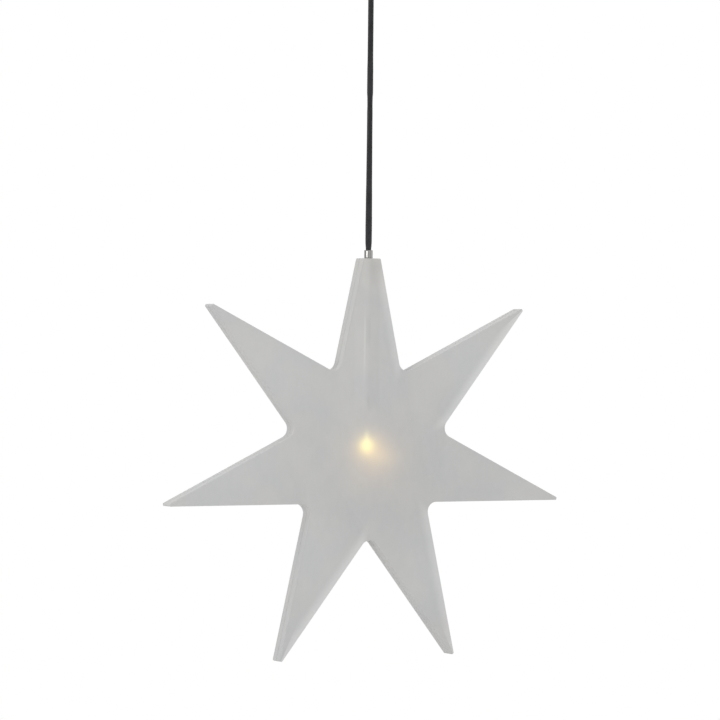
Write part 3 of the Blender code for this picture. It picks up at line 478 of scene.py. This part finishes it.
def makeTextile(name, b):
    material, tree, surface = newMaterial(
        name, {"Specular IOR Level": b["gloss"], "Sheen Weight": b["sheen"],
               "Sheen Roughness": b["sheenRoughness"]})
    place = objectPlace(tree)
    x, y, z = axes(tree, place)
    turn = product(tree, calc(tree, "ARCTAN2", y, x), b["strands"] / (2 * math.pi))
    rise = product(tree, z, b["strands"] / b["turnLength"])
    strands = summed(tree, turn, rise), minus(tree, turn, rise)
    over = summed(tree, *(calc(tree, "FLOOR", strand) for strand in strands))
    over = calc(tree, "FLOORED_MODULO", over, 2.0)
    yarns = []
    for strand, share in zip(strands, (over, minus(tree, 1.0, over))):
        wave = product(tree, calc(tree, "FRACT", strand), 2 * math.pi * b["yarns"])
        yarns.append(product(tree, calc(tree, "COSINE", wave), share))
    yarn = summed(tree, *yarns)
    fuzz = noise(tree, place, *b["fuzz"])
    cloud = noise(tree, stretched(tree, place, b["cloudStretch"]), *b["cloud"])
    tone = blended(tree, scaled(tree, cloud, *b["faded"]), b["colour"], b["pale"])
    # painted shade in the grooves between the yarns
    tone = blended(tree, scaled(tree, yarn, *b["grooveShade"]), tone, b["dark"])
    tone = blended(tree, scaled(tree, fuzz, *b["fuzzed"]), tone, b["pale"])
    bent = raised(tree, yarn, *b["yarnBump"])
    dress(tree, surface, tone, scaled(tree, fuzz, *b["roughness"]),
          raised(tree, fuzz, *b["fuzzBump"], bent))
    return material


# The lit lens: brightest at its domed end, dimmer up its sides, heights from the star's centre
epoxySet = {
    "strength": 12.0, "dome": (0.0005, 0.0095, 1.0, 0.35),
    "light": (1, 0.66, 0.3), "paleLight": (1, 0.72, 0.36), "lightBand": (0.3, 0.7, 0.0, 0.3),
    "clear": (1, 0.88, 0.6), "amber": (1, 0.8, 0.45),
    "cloud": (900, 2.0, 0.5), "roughness": (0.3, 0.7, 0.08, 0.2), "bump": (0.1, 0.00005),
}


def makeEpoxy(name, s):
    material, tree, surface = newMaterial(name, {"Emission Strength": s["strength"]})
    place = objectPlace(tree)
    x, y, z = axes(tree, place)
    dome = scaled(tree, minus(tree, z, starCentre.z), *s["dome"])
    cloud = noise(tree, place, *s["cloud"])
    light = blended(tree, scaled(tree, cloud, *s["lightBand"]), s["light"], s["paleLight"])
    feed(tree, surface.inputs["Emission Color"], tinted(tree, light, dome))
    dress(tree, surface, blended(tree, cloud, s["clear"], s["amber"]),
          scaled(tree, cloud, *s["roughness"]), raised(tree, cloud, *s["bump"]))
    return material


# Wire insulation: drawn streaks along the wire and faint clouds
insulationSet = {
    "white": (0.82, 0.82, 0.8), "grey": (0.45, 0.45, 0.45), "darker": 0.86,
    "cloud": (260, 2.0, 0.5), "clouded": (0.3, 0.7),
    "streaks": (1800, 3.0, 0.6), "streakStretch": (1, 1, 0.05), "streaked": (0.5, 0.8, 0.0, 0.4),
    "roughness": (0.2, 0.8, 0.3, 0.48), "bump": (0.2, 0.00005),
}


def makeInsulation(name, s, colour):
    material, tree, surface = newMaterial(name)
    place = objectPlace(tree)
    streaks = noise(tree, stretched(tree, place, s["streakStretch"]), *s["streaks"])
    cloud = noise(tree, place, *s["cloud"])
    darker = shade(s[colour], s["darker"])
    tone = blended(tree, scaled(tree, cloud, *s["clouded"]), s[colour], darker)
    tone = blended(tree, scaled(tree, streaks, *s["streaked"]), tone, darker)
    dress(tree, surface, tone, scaled(tree, streaks, *s["roughness"]),
          raised(tree, streaks, *s["bump"]))
    return material


# Tan lacquer of the resistor with its code rings, and its tinned wire past both ends: the lower
# end's height is from the star's centre, and rings and wires are placed in shares of the length
resistorSet = {
    "bottom": 0.0466, "length": 0.0063, "tan": (0.56, 0.43, 0.27), "paleTan": (0.66, 0.53, 0.35),
    "rings": ((0.17, (0.75, 0.55, 0.05)), (0.36, (0.14, 0.06, 0.3)), (0.52, (0.16, 0.07, 0.03)),
              (0.83, (0.5, 0.36, 0.12))),
    "ringEdge": (0.045, 0.06, 1.0, 0.0),
    "wireColour": (0.7, 0.69, 0.66), "lowerWire": (-0.02, 0.0, 1.0, 0.0), "upperWire": (1.0, 1.02),
    "cloud": (1400, 3.0, 0.6), "clouded": (0.3, 0.7),
    "roughness": (0.2, 0.8, 0.25, 0.42), "bump": (0.2, 0.00005),
}


def makeResistorLacquer(name, s):
    material, tree, surface = newMaterial(name)
    place = objectPlace(tree)
    x, y, z = axes(tree, place)
    along = calc(tree, "DIVIDE", minus(tree, z, starCentre.z + s["bottom"]), s["length"])
    cloud = noise(tree, place, *s["cloud"])
    tone = blended(tree, scaled(tree, cloud, *s["clouded"]), s["tan"], s["paleTan"])
    for at, ringColour in s["rings"]:
        off = calc(tree, "ABSOLUTE", minus(tree, along, at))
        tone = blended(tree, scaled(tree, off, *s["ringEdge"]), tone, ringColour)
    wire = calc(tree, "MAXIMUM", scaled(tree, along, *s["lowerWire"]),
                scaled(tree, along, *s["upperWire"]))
    feed(tree, surface.inputs["Metallic"], wire)
    dress(tree, surface, blended(tree, wire, tone, s["wireColour"]),
          scaled(tree, cloud, *s["roughness"]), raised(tree, cloud, *s["bump"]))
    return material


# Clear shrink sleeving: half see-through, wrinkled across and a little milky in places
sleeveSet = {
    "seeThrough": 0.55, "refraction": 1.42, "clear": (0.72, 0.7, 0.65), "milky": (0.6, 0.58, 0.52),
    "cloud": (420, 2.0, 0.5), "wrinkles": (1500, 3.0, 0.6), "wrinkleStretch": (0.4, 0.4, 1),
    "roughness": (0.2, 0.8, 0.2, 0.4), "bump": (0.35, 0.0001),
}


def makeSleeving(name, s):
    material, tree, surface = newMaterial(
        name, {"Transmission Weight": s["seeThrough"], "IOR": s["refraction"]})
    place = objectPlace(tree)
    wrinkles = noise(tree, stretched(tree, place, s["wrinkleStretch"]), *s["wrinkles"])
    cloud = noise(tree, place, *s["cloud"])
    dress(tree, surface, blended(tree, cloud, s["clear"], s["milky"]),
          scaled(tree, wrinkles, *s["roughness"]), raised(tree, wrinkles, *s["bump"]))
    return material


finishes = {
    "frontFrost": makeFrosted("frontFrost", frostSet, frontFace),
    "rearFrost": makeFrosted("rearFrost", frostSet, rearFace),
    "turnedSteel": makeSteel("turnedSteel", steelSet, steels["turned"]),
    "zincPlate": makeSteel("zincPlate", steelSet, steels["zinc"]),
    "tinnedWire": makeSteel("tinnedWire", steelSet, steels["tinned"]),
    "blackTextile": makeTextile("blackTextile", braidSet),
    "cupLacquer": makeLacquer("cupLacquer", lacquerSet),
    "gripNylon": makeNylon("gripNylon", nylonSet, nylons["grip"]),
    "blockNylon": makeNylon("blockNylon", nylonSet, nylons["block"]),
    "whiteInsulation": makeInsulation("whiteInsulation", insulationSet, "white"),
    "greyInsulation": makeInsulation("greyInsulation", insulationSet, "grey"),
    "clearSleeving": makeSleeving("clearSleeving", sleeveSet),
    "resistorLacquer": makeResistorLacquer("resistorLacquer", resistorSet),
    "warmEpoxy": makeEpoxy("warmEpoxy", epoxySet),
}
print("finishes made:", len(finishes))

# Pieces that replace their CAD node with a finer one; only these show the key lamp's glint
glintPieces = bpy.data.collections.new("glintPieces")


def newPiece(name, mesh, finish, body, slot, *replaced):
    piece = placed(name, mesh)
    mesh.materials.clear()
    mesh.materials.append(finishes[finish])
    glintPieces.objects.link(piece)
    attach(piece, body)
    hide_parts(*replaced)
    return piece


# Mesh helpers: sharp edges in degrees, reaches under which points are one in metres
meshSet = {
    "sharpEdge": 28, "onAxis": 1e-7, "weld": 1e-6,
    "easeSteps": 4, "arcSteps": 12, "around": 96, "drillAround": 32,
}


def meshFrom(work, name):
    mesh = bpy.data.meshes.new(name)
    work.to_mesh(mesh)
    work.free()
    return mesh


def shaded(mesh):
    mesh.shade_smooth()
    mesh.set_sharp_from_angle(angle=math.radians(meshSet["sharpEdge"]))
    return mesh


def rounded(corners):
    # A profile of (radius, height, rounding) with its corners eased into short curves
    points = []
    steps = meshSet["easeSteps"]
    for i, (radius, height, ease) in enumerate(corners):
        here = Vector((radius, height))
        if not ease:
            points.append((radius, height))
            continue
        before = Vector(corners[i - 1][:2])
        after = Vector(corners[(i + 1) % len(corners)][:2])
        start = here + (before - here).normalized() * ease
        finish = here + (after - here).normalized() * ease
        for step in range(steps + 1):
            t = step / steps
            points.append(tuple(start * (1 - t) ** 2 + here * 2 * t * (1 - t) + finish * t**2))
    return points


def quarterArc(centre, radius, start, end, steps=meshSet["arcSteps"]):
    angles = [start + (end - start) * i / steps for i in range(steps + 1)]
    return [(centre[0] + radius * math.cos(a), centre[1] + radius * math.sin(a)) for a in angles]


def turnedMesh(name, profile, steps=meshSet["around"], ring=True, place=None):
    # The profile turned about Z; a ring closes on itself, else both its ends lie on the axis
    work = bmesh.new()
    angles = [2 * math.pi * i / steps for i in range(steps)]
    rows = []
    for radius, height in profile:
        if radius < meshSet["onAxis"]:
            rows.append([work.verts.new((0, 0, height))])
            continue
        rows.append([work.verts.new((radius * math.cos(a), radius * math.sin(a), height))
                     for a in angles])
    pairs = list(zip(rows, rows[1:]))
    if ring:
        pairs.append((rows[-1], rows[0]))
    for upper, lower in pairs:
        for i in range(steps):
            j = (i + 1) % steps
            corners = [upper[i % len(upper)], upper[j % len(upper)],
                       lower[j % len(lower)], lower[i % len(lower)]]
            work.faces.new(list(dict.fromkeys(corners)))
    bmesh.ops.recalc_face_normals(work, faces=work.faces)
    if place:
        bmesh.ops.transform(work, matrix=place, verts=work.verts)
    return shaded(meshFrom(work, name))


def drillMesh(radius, low, high, place):
    profile = [(0, high), (radius, high), (radius, low), (0, low)]
    return turnedMesh("drill", profile, meshSet["drillAround"], ring=False, place=place)


def boxMesh(low, high, place):
    work = bmesh.new()
    bmesh.ops.create_cube(work, size=1)
    size, middle = Vector(high) - Vector(low), (Vector(high) + Vector(low)) / 2
    shape = Matrix.Translation(middle) @ Matrix.Diagonal((*size, 1))
    bmesh.ops.transform(work, matrix=shape, verts=work.verts)
    bmesh.ops.transform(work, matrix=place, verts=work.verts)
    return meshFrom(work, "box")


def cutAway(mesh, tool):
    # The mesh with the tool's shape cut out of it
    body, cutter = placed("blank", mesh), placed("cutter", tool)
    step = body.modifiers.new("cut", "BOOLEAN")
    step.operation, step.object, step.solver = "DIFFERENCE", cutter, "EXACT"
    graph = bpy.context.evaluated_depsgraph_get()
    result = bpy.data.meshes.new_from_object(body.evaluated_get(graph))
    for spent in (cutter, body):
        bpy.data.objects.remove(spent, do_unlink=True)
    work = bmesh.new()  # weld the cut and leave no empty slivers along it
    work.from_mesh(result)
    bmesh.ops.remove_doubles(work, verts=work.verts, dist=meshSet["weld"])
    bmesh.ops.triangulate(work, faces=[face for face in work.faces if len(face.verts) > 4])
    bmesh.ops.dissolve_degenerate(work, dist=meshSet["weld"], edges=work.edges)
    work.to_mesh(result)
    work.free()
    return shaded(result)


# The cord: its braid, and its widths as (height, radius), as it is pressed flat here and there
cordSet = {
    "length": 0.265, "diameter": 0.006, "socketDepth": 0.002,
    "neckRadius": 0.00268, "neckLength": 0.008, "neckCurve": 1.3,
    "ringStep": 0.00042, "around": 64, "domeSteps": 7, "relief": 0.00017, "reliefLevel": 0.6,
    "widths": ((-0.03, 0.0029), (-0.11, 0.0027), (-0.128, 0.00292), (-0.147, 0.003),
               (-0.153, 0.00272), (-0.16, 0.00266), (-0.168, 0.00284), (-0.236, 0.00286),
               (-0.257, 0.00303), (-0.285, 0.00326)),
    "flatness": 0.035, "flatTurn": 46.0, "stations": 24,
}


def widthAt(height, widths):
    for (high, first), (low, second) in zip(widths, widths[1:]):
        if height >= low:
            share = min(max((high - height) / (high - low), 0), 1)
            share = share * share * (3 - 2 * share)
            return first + (second - first) * share
    return widths[-1][1]


def braidHeight(angle, height, b):
    # Crowns of the strands that lie on top, from 0 in the gaps to 1
    turn = angle * b["strands"] / (2 * math.pi)
    rise = height * b["strands"] / b["turnLength"]
    left, right = turn + rise, turn - rise
    over = (math.floor(left) + math.floor(right)) % 2
    across, along = (left, right) if over else (right, left)
    across, along = across % 1 - 0.5, along % 1 - 0.5
    crown = max(0.0, 1 - b["crownFall"] * across**2)
    return crown * (b["crownMean"] + b["crownSwing"] * math.cos(math.pi * along))


def cordRings(c, crown):
    # Heights and radii of the cord's rings, from its rounded upper end down into the ferrule
    mouth = swingHeight - c["length"]
    bottom = mouth - c["socketDepth"]
    rings = []
    for i in range(1, c["domeSteps"]):  # the rounded end turns in the grip's mouth
        angle = math.pi / 2 * (1 - i / c["domeSteps"])
        rings.append((swingHeight + crown * math.sin(angle), crown * math.cos(angle)))
    count = round((swingHeight - bottom) / c["ringStep"])
    for i in range(count + 1):
        height = swingHeight + (bottom - swingHeight) * i / count
        neck = min(max((mouth + c["neckLength"] - height) / c["neckLength"], 0), 1)
        full = widthAt(height, c["widths"])
        rings.append((height, full + (c["neckRadius"] - full) * neck ** c["neckCurve"]))
    return rings


def cordMesh(c, b):
    work = bmesh.new()
    crown = widthAt(swingHeight, c["widths"])
    rings = cordRings(c, crown)
    sides = [(i, (i + 1) % c["around"]) for i in range(c["around"])]
    rows = []
    for height, radius in rings:
        row = []
        for i, j in sides:
            angle = 2 * math.pi * i / c["around"]
            flat = 1 + c["flatness"] * math.cos(2 * angle + height * c["flatTurn"])
            relief = c["relief"] * (braidHeight(angle, height, b) - c["reliefLevel"])
            reach = radius * flat + relief * min(radius / c["neckRadius"], 1)
            row.append(work.verts.new((reach * math.cos(angle), reach * math.sin(angle), height)))
        rows.append(row)
    for upper, lower in zip(rows, rows[1:]):
        for i, j in sides:
            work.faces.new((upper[i], upper[j], lower[j], lower[i]))
    top = work.verts.new((0, 0, swingHeight + crown))
    foot = work.verts.new((0, 0, rings[-1][0]))
    for i, j in sides:
        work.faces.new((rows[0][j], rows[0][i], top))
        work.faces.new((rows[-1][i], rows[-1][j], foot))
    bmesh.ops.recalc_face_normals(work, faces=work.faces)
    mesh = meshFrom(work, "braidedCord")
    mesh.shade_smooth()
    return mesh


def makeCord(c, b):
    cord = newPiece("braidedCord", cordMesh(c, b), "blackTextile", "hanging_cord", "textile_cord",
                    "cord", "cord_top_bend")


makeCord(cordSet, braidSet)
print("cord braided")

# Ferrule: a turned sleeve on the top cut, its neck through the wall and its collar in the pocket
ferruleSet = {
    "bore": 0.00285, "radius": 0.0043, "neck": 0.00355, "collar": 0.00485, "height": 0.008,
    "toCollar": 0.0104, "toFoot": 0.0124,
    "mouthEase": 0.0003, "topEase": 0.0005, "neckEase": 0.0001, "footEase": 0.0002,
}


def makeFerrule(f):
    top = ferruleTop
    seat, collarTop, foot = (top - f[drop] for drop in ("height", "toCollar", "toFoot"))
    corners = [
        (f["bore"], top, f["mouthEase"]), (f["radius"], top, f["topEase"]),
        (f["radius"], seat, f["footEase"]), (f["neck"], seat, f["neckEase"]),
        (f["neck"], collarTop, f["neckEase"]), (f["collar"], collarTop, f["footEase"]),
        (f["collar"], foot, f["footEase"]), (f["bore"], foot, f["footEase"]),
    ]
    mesh = turnedMesh("turnedFerrule", rounded(corners))
    newPiece("turnedFerrule", mesh, "turnedSteel", "star", "satin_steel", "ferrule")


makeFerrule(ferruleSet)

# LED lens: round, dome down, with its flange; heights from the star's centre
lensSet = {
    "radius": 0.0025, "flange": 0.0029, "base": 0.0093, "flangeHeight": 0.001, "tip": 0.0007,
    "flangeEase": 0.0002, "domeSteps": 12, "around": 48,
}


def makeLens(l):
    base, tip = starCentre.z + l["base"], starCentre.z + l["tip"]
    flangeFoot = base - l["flangeHeight"]
    profile = rounded([
        (0, base, 0), (l["flange"], base, l["flangeEase"]),
        (l["flange"], flangeFoot, l["flangeEase"]), (l["radius"], flangeFoot, 0),
        (l["radius"], tip + l["radius"], 0),
    ])
    steps = l["domeSteps"]
    for i in range(1, steps + 1):
        angle = math.pi / 2 * i / steps
        across = l["radius"] * math.cos(angle) if i < steps else 0
        profile.append((across, tip + l["radius"] * (1 - math.sin(angle))))
    mesh = turnedMesh("lensDome", profile, steps=l["around"], ring=False)
    newPiece("lensDome", mesh, "warmEpoxy", "star", "warm_epoxy", "led_lens")


makeLens(lensSet)
print("ferrule and lens turned")

# Ceiling cup with a rounded rim below, softened upper lip and its two screw holes
cupSet = {
    "radius": 0.031, "wall": 0.0012, "top": -0.0005, "bottom": -0.0245, "round": 0.004,
    "lip": 0.00035, "hole": 0.0051, "screwHeight": -0.00675, "screwHole": 0.0023,
    "drillPast": 0.002, "around": 144,
}


def makeCup(c):
    inner, innerRound = c["radius"] - c["wall"], c["round"] - c["wall"]
    floor, lip, top = c["bottom"] + c["wall"], c["lip"], c["top"]
    profile = [(c["radius"] - lip, top), (c["radius"], top - lip)]
    profile += quarterArc((c["radius"] - c["round"], c["bottom"] + c["round"]), c["round"],
                          0, -math.pi / 2)
    profile += [(c["hole"], c["bottom"]), (c["hole"], floor)]
    profile += quarterArc((inner - innerRound, floor + innerRound), innerRound, -math.pi / 2, 0)
    profile += [(inner, top - lip), (inner + lip, top)]
    mesh = turnedMesh("lacqueredCup", profile, steps=c["around"])
    reach = c["radius"] + c["drillPast"]
    turn = Matrix.Translation((0, 0, c["screwHeight"])) @ Matrix.Rotation(math.pi / 2, 4, "Y")
    mesh = cutAway(mesh, drillMesh(c["screwHole"], -reach, reach, turn))
    newPiece("lacqueredCup", mesh, "cupLacquer", "ceiling_fitting", "black_lacquer", "ceiling_cup")


makeCup(cupSet)

# Cord grip: a moulded sleeve with a rounded mouth, its stub up through the cup's floor
gripSet = {
    "bore": 0.0033, "stub": 0.0048, "radius": 0.0065, "stubTop": -0.0185, "shoulder": -0.0248,
    "foot": -0.0408, "round": 0.0015, "mouthRound": 0.001, "roundSteps": 8,
    "stubBevel": 0.0003, "shoulderBevel": 0.0002,
    "screwHeight": -0.0328, "screwHole": 0.0018, "drillReach": 0.0085,
}


def makeGrip(g):
    top, shoulder, foot, steps = g["stubTop"], g["shoulder"], g["foot"], g["roundSteps"]
    profile = [
        (g["bore"], top), (g["stub"] - g["stubBevel"], top), (g["stub"], top - g["stubBevel"]),
        (g["stub"], shoulder), (g["radius"] - g["shoulderBevel"], shoulder),
        (g["radius"], shoulder - g["shoulderBevel"]),
    ]
    profile += quarterArc((g["radius"] - g["round"], foot + g["round"]), g["round"],
                          0, -math.pi / 2, steps)
    profile += quarterArc((g["bore"] + g["mouthRound"], foot + g["mouthRound"]), g["mouthRound"],
                          -math.pi / 2, -math.pi, steps)
    mesh = turnedMesh("mouldedGrip", profile)
    turn = Matrix.Translation((0, 0, g["screwHeight"])) @ Matrix.Rotation(-math.pi / 2, 4, "X")
    mesh = cutAway(mesh, drillMesh(g["screwHole"], 0, g["drillReach"], turn))
    newPiece("mouldedGrip", mesh, "gripNylon", "ceiling_fitting", "black_nylon", "cord_grip")


makeGrip(gripSet)

# Cup screws: threaded shank, eased pan head and a slot; each stands along its own axis
cupScrewSet = {
    "shank": 0.002, "length": 0.0065, "thread": 0.00018, "pitch": 0.0007, "threadFrom": 0.0006,
    "plainEnd": 0.001, "point": 0.0003, "around": 48,
    "head": 0.0036, "headHeight": 0.002, "seat": 0.0003, "crown": 0.8, "rimHeight": 0.001,
    "crownEase": 0.0006, "rimEase": 0.0005, "seatEase": 0.0001,
    "slotWidth": 0.0008, "slotDepth": 0.0009, "slotPast": 0.001,
}
cupScrews = {
    "cupScrewLeft": (-1, "cup_screw_left"),
    "cupScrewRight": (1, "cup_screw_right"),
}
# Grip screw: a headless slotted screw with a tapered point, measured out from the cord's axis
gripScrewSet = {
    "radius": 0.0015, "from": 0.0033, "to": 0.0062, "topEase": 0.0003, "around": 40,
    "pointLength": 0.0004, "pointTaper": 0.0005, "pointEase": 0.0001,
    "slotWidth": 0.0005, "slotDepth": 0.0007, "slotReach": 0.003, "slotPast": 0.001,
}


def makeScrew(name, node, profile, s, place, top, slotReach):
    mesh = turnedMesh(name, profile, steps=s["around"], ring=False, place=place)
    half = s["slotWidth"] / 2
    slot = boxMesh((-slotReach, -half, top - s["slotDepth"]),
                   (slotReach, half, top + s["slotPast"]), place)
    newPiece(name, cutAway(mesh, slot), "zincPlate", "ceiling_fitting", "zinc_steel", node)


def makeCupScrews(s):
    top = s["seat"] + s["headHeight"]
    profile = rounded([
        (0, top, 0), (s["head"] * s["crown"], top, s["crownEase"]),
        (s["head"], s["seat"] + s["rimHeight"], s["rimEase"]),
        (s["head"], s["seat"], s["seatEase"]), (s["shank"], s["seat"], s["seatEase"]),
    ])
    turns = int((s["length"] - s["plainEnd"]) / s["pitch"])
    for i in range(turns):  # crests and roots of the thread
        height = -s["threadFrom"] - i * s["pitch"]
        profile += [(s["shank"], height), (s["shank"] - s["thread"], height - s["pitch"] / 2)]
    profile += [(s["shank"] - s["point"], -s["length"]), (0, -s["length"])]
    for name, (side, node) in cupScrews.items():
        place = Matrix.Translation((side * cupSet["radius"], 0, cupSet["screwHeight"]))
        place = place @ Matrix.Rotation(side * math.pi / 2, 4, "Y")
        makeScrew(name, node, profile, s, place, top, s["head"] + s["slotPast"])


def makeGripScrew(s):
    place = Matrix.Translation((0, 0, gripSet["screwHeight"]))
    place = place @ Matrix.Rotation(-math.pi / 2, 4, "X")
    profile = rounded([
        (0, s["to"], 0), (s["radius"], s["to"], s["topEase"]),
        (s["radius"], s["from"] + s["pointLength"], s["pointEase"]),
        (s["radius"] - s["pointTaper"], s["from"], s["pointEase"]), (0, s["from"], 0),
    ])
    makeScrew("gripScrew", "grip_screw", profile, s, place, s["to"], s["slotReach"])


makeCupScrews(cupScrewSet)
makeGripScrew(gripScrewSet)
print("ceiling fitting made")

# CAD nodes whose shape is right keep it and get their finish
nodeFinishes = {
    "frontFrost": ["star_front_shell"],
    "rearFrost": ["star_rear_shell"],
    "turnedSteel": ["cord_crimp"],
    "blackTextile": ["cord_lower_end", "cord_upper_end"],
    "whiteInsulation": ["wire_positive", "cup_wire_positive"],
    "greyInsulation": ["wire_negative", "cup_wire_negative"],
    "resistorLacquer": ["series_resistor"],
    "clearSleeving": ["resistor_sleeve", "joint_sleeve_upper", "joint_sleeve_anode",
                      "joint_sleeve_cathode"],
    "tinnedWire": ["led_anode_lead", "led_cathode_lead"],
    "zincPlate": ["ceiling_strap", "grip_nut", "terminal_screw_left", "terminal_screw_right"],
    "blockNylon": ["terminal_block"],
}
# Their facets are welded and shaded smooth up to an edge angle in degrees
smoothSet = {"weld": 0.000002, "sharpEdge": 35}


def smoothGroup(s):
    group = bpy.data.node_groups.new("smoothFacets", "GeometryNodeTree")
    for side in ("INPUT", "OUTPUT"):
        group.interface.new_socket("Geometry", in_out=side, socket_type="NodeSocketGeometry")
    start, end = group.nodes.new("NodeGroupInput"), group.nodes.new("NodeGroupOutput")
    weld = group.nodes.new("GeometryNodeMergeByDistance")
    weld.inputs["Distance"].default_value = s["weld"]
    drop = group.nodes.new("GeometryNodeRemoveAttribute")
    drop.inputs["Name"].default_value = "custom_normal"
    faces = group.nodes.new("GeometryNodeSetShadeSmooth")
    faces.domain = "FACE"
    edges = group.nodes.new("GeometryNodeSetShadeSmooth")
    edges.domain = "EDGE"
    edges.inputs["Shade Smooth"].default_value = False
    angle = group.nodes.new("GeometryNodeInputMeshEdgeAngle")
    steep = group.nodes.new("FunctionNodeCompare")
    steep.operation, steep.data_type = "GREATER_THAN", "FLOAT"
    steep.inputs["B"].default_value = math.radians(s["sharpEdge"])
    chain = [start, weld, drop, faces, edges, end]
    for first, second in zip(chain, chain[1:]):
        group.links.new(first.outputs[0], second.inputs[0])
    group.links.new(angle.outputs["Unsigned Angle"], steep.inputs["A"])
    group.links.new(steep.outputs[0], edges.inputs["Selection"])
    return group


smoothFacets = smoothGroup(smoothSet)
for finish, names in nodeFinishes.items():
    for nodeName in names:
        node = nodes[nodeName]
        for holder in node.material_slots:
            holder.material = finishes[finish]
        step = node.modifiers.new("smooth", "NODES")
        step.node_group = smoothFacets
print("nodes finished")

# Light: a white backdrop for the eye, a plainer grey one for the light it gives, and soft lamps,
# placed from the star's centre. The key lamp is in two parts: its mirror image stays off the
# frosted shells, where it glares at a flat angle, and its glint falls on the finer pieces
lightSet = {
    "ambient": 0.675, "backdrop": 1.0,
    "lamps": {
        "keyLamp": {"from": (-2.5, -0.87, 0.28), "size": 0.6, "power": 9.6, "part": "matt"},
        "glintLamp": {"from": (-2.4, -0.835, 0.269), "size": 0.58, "power": 13, "part": "glint"},
        "upperLeftLamp": {"from": (-1.3, -0.1, 2.2), "size": 1.2, "power": 11.4},
        "lowerLeftLamp": {"from": (-2.1, -0.1, -0.95), "size": 1.2, "power": 2.4},
        "frontLamp": {"from": (-0.5, -2.9, 0.6), "size": 2.2, "power": 5.4},
        "fillLamp": {"from": (2.3, -1.6, 0.1), "size": 2.2, "power": 7},
    },
}


def makeWorld(s):
    world = bpy.data.worlds.new("studio")
    scene.world = world
    world.use_nodes = True
    tree = world.node_tree
    background = tree.nodes["Background"]
    background.inputs["Color"].default_value = (1, 1, 1, 1)
    strength = scaled(tree, seenStraight(tree), 0.0, 1.0, s["ambient"], s["backdrop"], smooth=False)
    feed(tree, background.inputs["Strength"], strength)


def makeLamp(name, s):
    data = bpy.data.lights.new(name, "AREA")
    data.energy, data.size = s["power"], s["size"]
    lamp = placed(name, data)
    lamp.location = starCentre + Vector(s["from"])
    lamp.rotation_euler = Vector(s["from"]).to_track_quat("Z", "Y").to_euler()
    if s.get("part") == "matt":
        lamp.visible_glossy = False
    if s.get("part") == "glint":
        lamp.visible_diffuse = False
        lamp.light_linking.receiver_collection = glintPieces


makeWorld(lightSet)
for lampName, lampSet in lightSet["lamps"].items():
    makeLamp(lampName, lampSet)
print("lights placed")

# Floor: a pale round of plaster board below the star, which fades into the backdrop at its rim
floorSet = {
    "drop": 1.05, "radius": 1.7, "thickness": 0.01, "edgeEase": 0.004, "around": 128,
    "fadeFrom": 0.7, "colour": (0.84, 0.84, 0.83), "lower": 0.985,
    "cloud": (3.0, 4.0, 0.55), "clouded": (0.3, 0.7),
    "grain": (240, 3.0, 0.6), "roughness": (0.2, 0.8, 0.6, 0.8), "grainBump": (0.1, 0.0005),
}


def makeFloorFinish(f):
    material, tree, surface = newMaterial("paleBoard")
    place = objectPlace(tree)
    x, y, z = axes(tree, place)
    cloud = noise(tree, place, *f["cloud"])
    grain = noise(tree, place, *f["grain"])
    low = shade(f["colour"], f["lower"])
    dress(tree, surface, blended(tree, scaled(tree, cloud, *f["clouded"]), low, f["colour"]),
          scaled(tree, grain, *f["roughness"]), raised(tree, grain, *f["grainBump"]))
    reach = calc(tree, "SQRT", squareSum(tree, x, y))
    outer = scaled(tree, reach, f["fadeFrom"], f["radius"])
    white = tree.nodes.new("ShaderNodeEmission")
    mixed = tree.nodes.new("ShaderNodeMixShader")
    feed(tree, mixed.inputs[0], product(tree, outer, seenStraight(tree)))
    feed(tree, mixed.inputs[1], surface.outputs[0])
    feed(tree, mixed.inputs[2], white.outputs[0])
    feed(tree, tree.nodes["Material Output"].inputs["Surface"], mixed.outputs[0])
    return material


def makeFloor(f):
    top = starCentre.z - f["drop"]
    foot = top - f["thickness"]
    profile = rounded([(0, top, 0), (f["radius"], top, f["edgeEase"]),
                       (f["radius"], foot, f["edgeEase"]), (0, foot, 0)])
    mesh = turnedMesh("floorBoard", profile, steps=f["around"], ring=False)
    mesh.materials.append(makeFloorFinish(f))
    floor = placed("floorBoard", mesh)


makeFloor(floorSet)
print("floor laid")
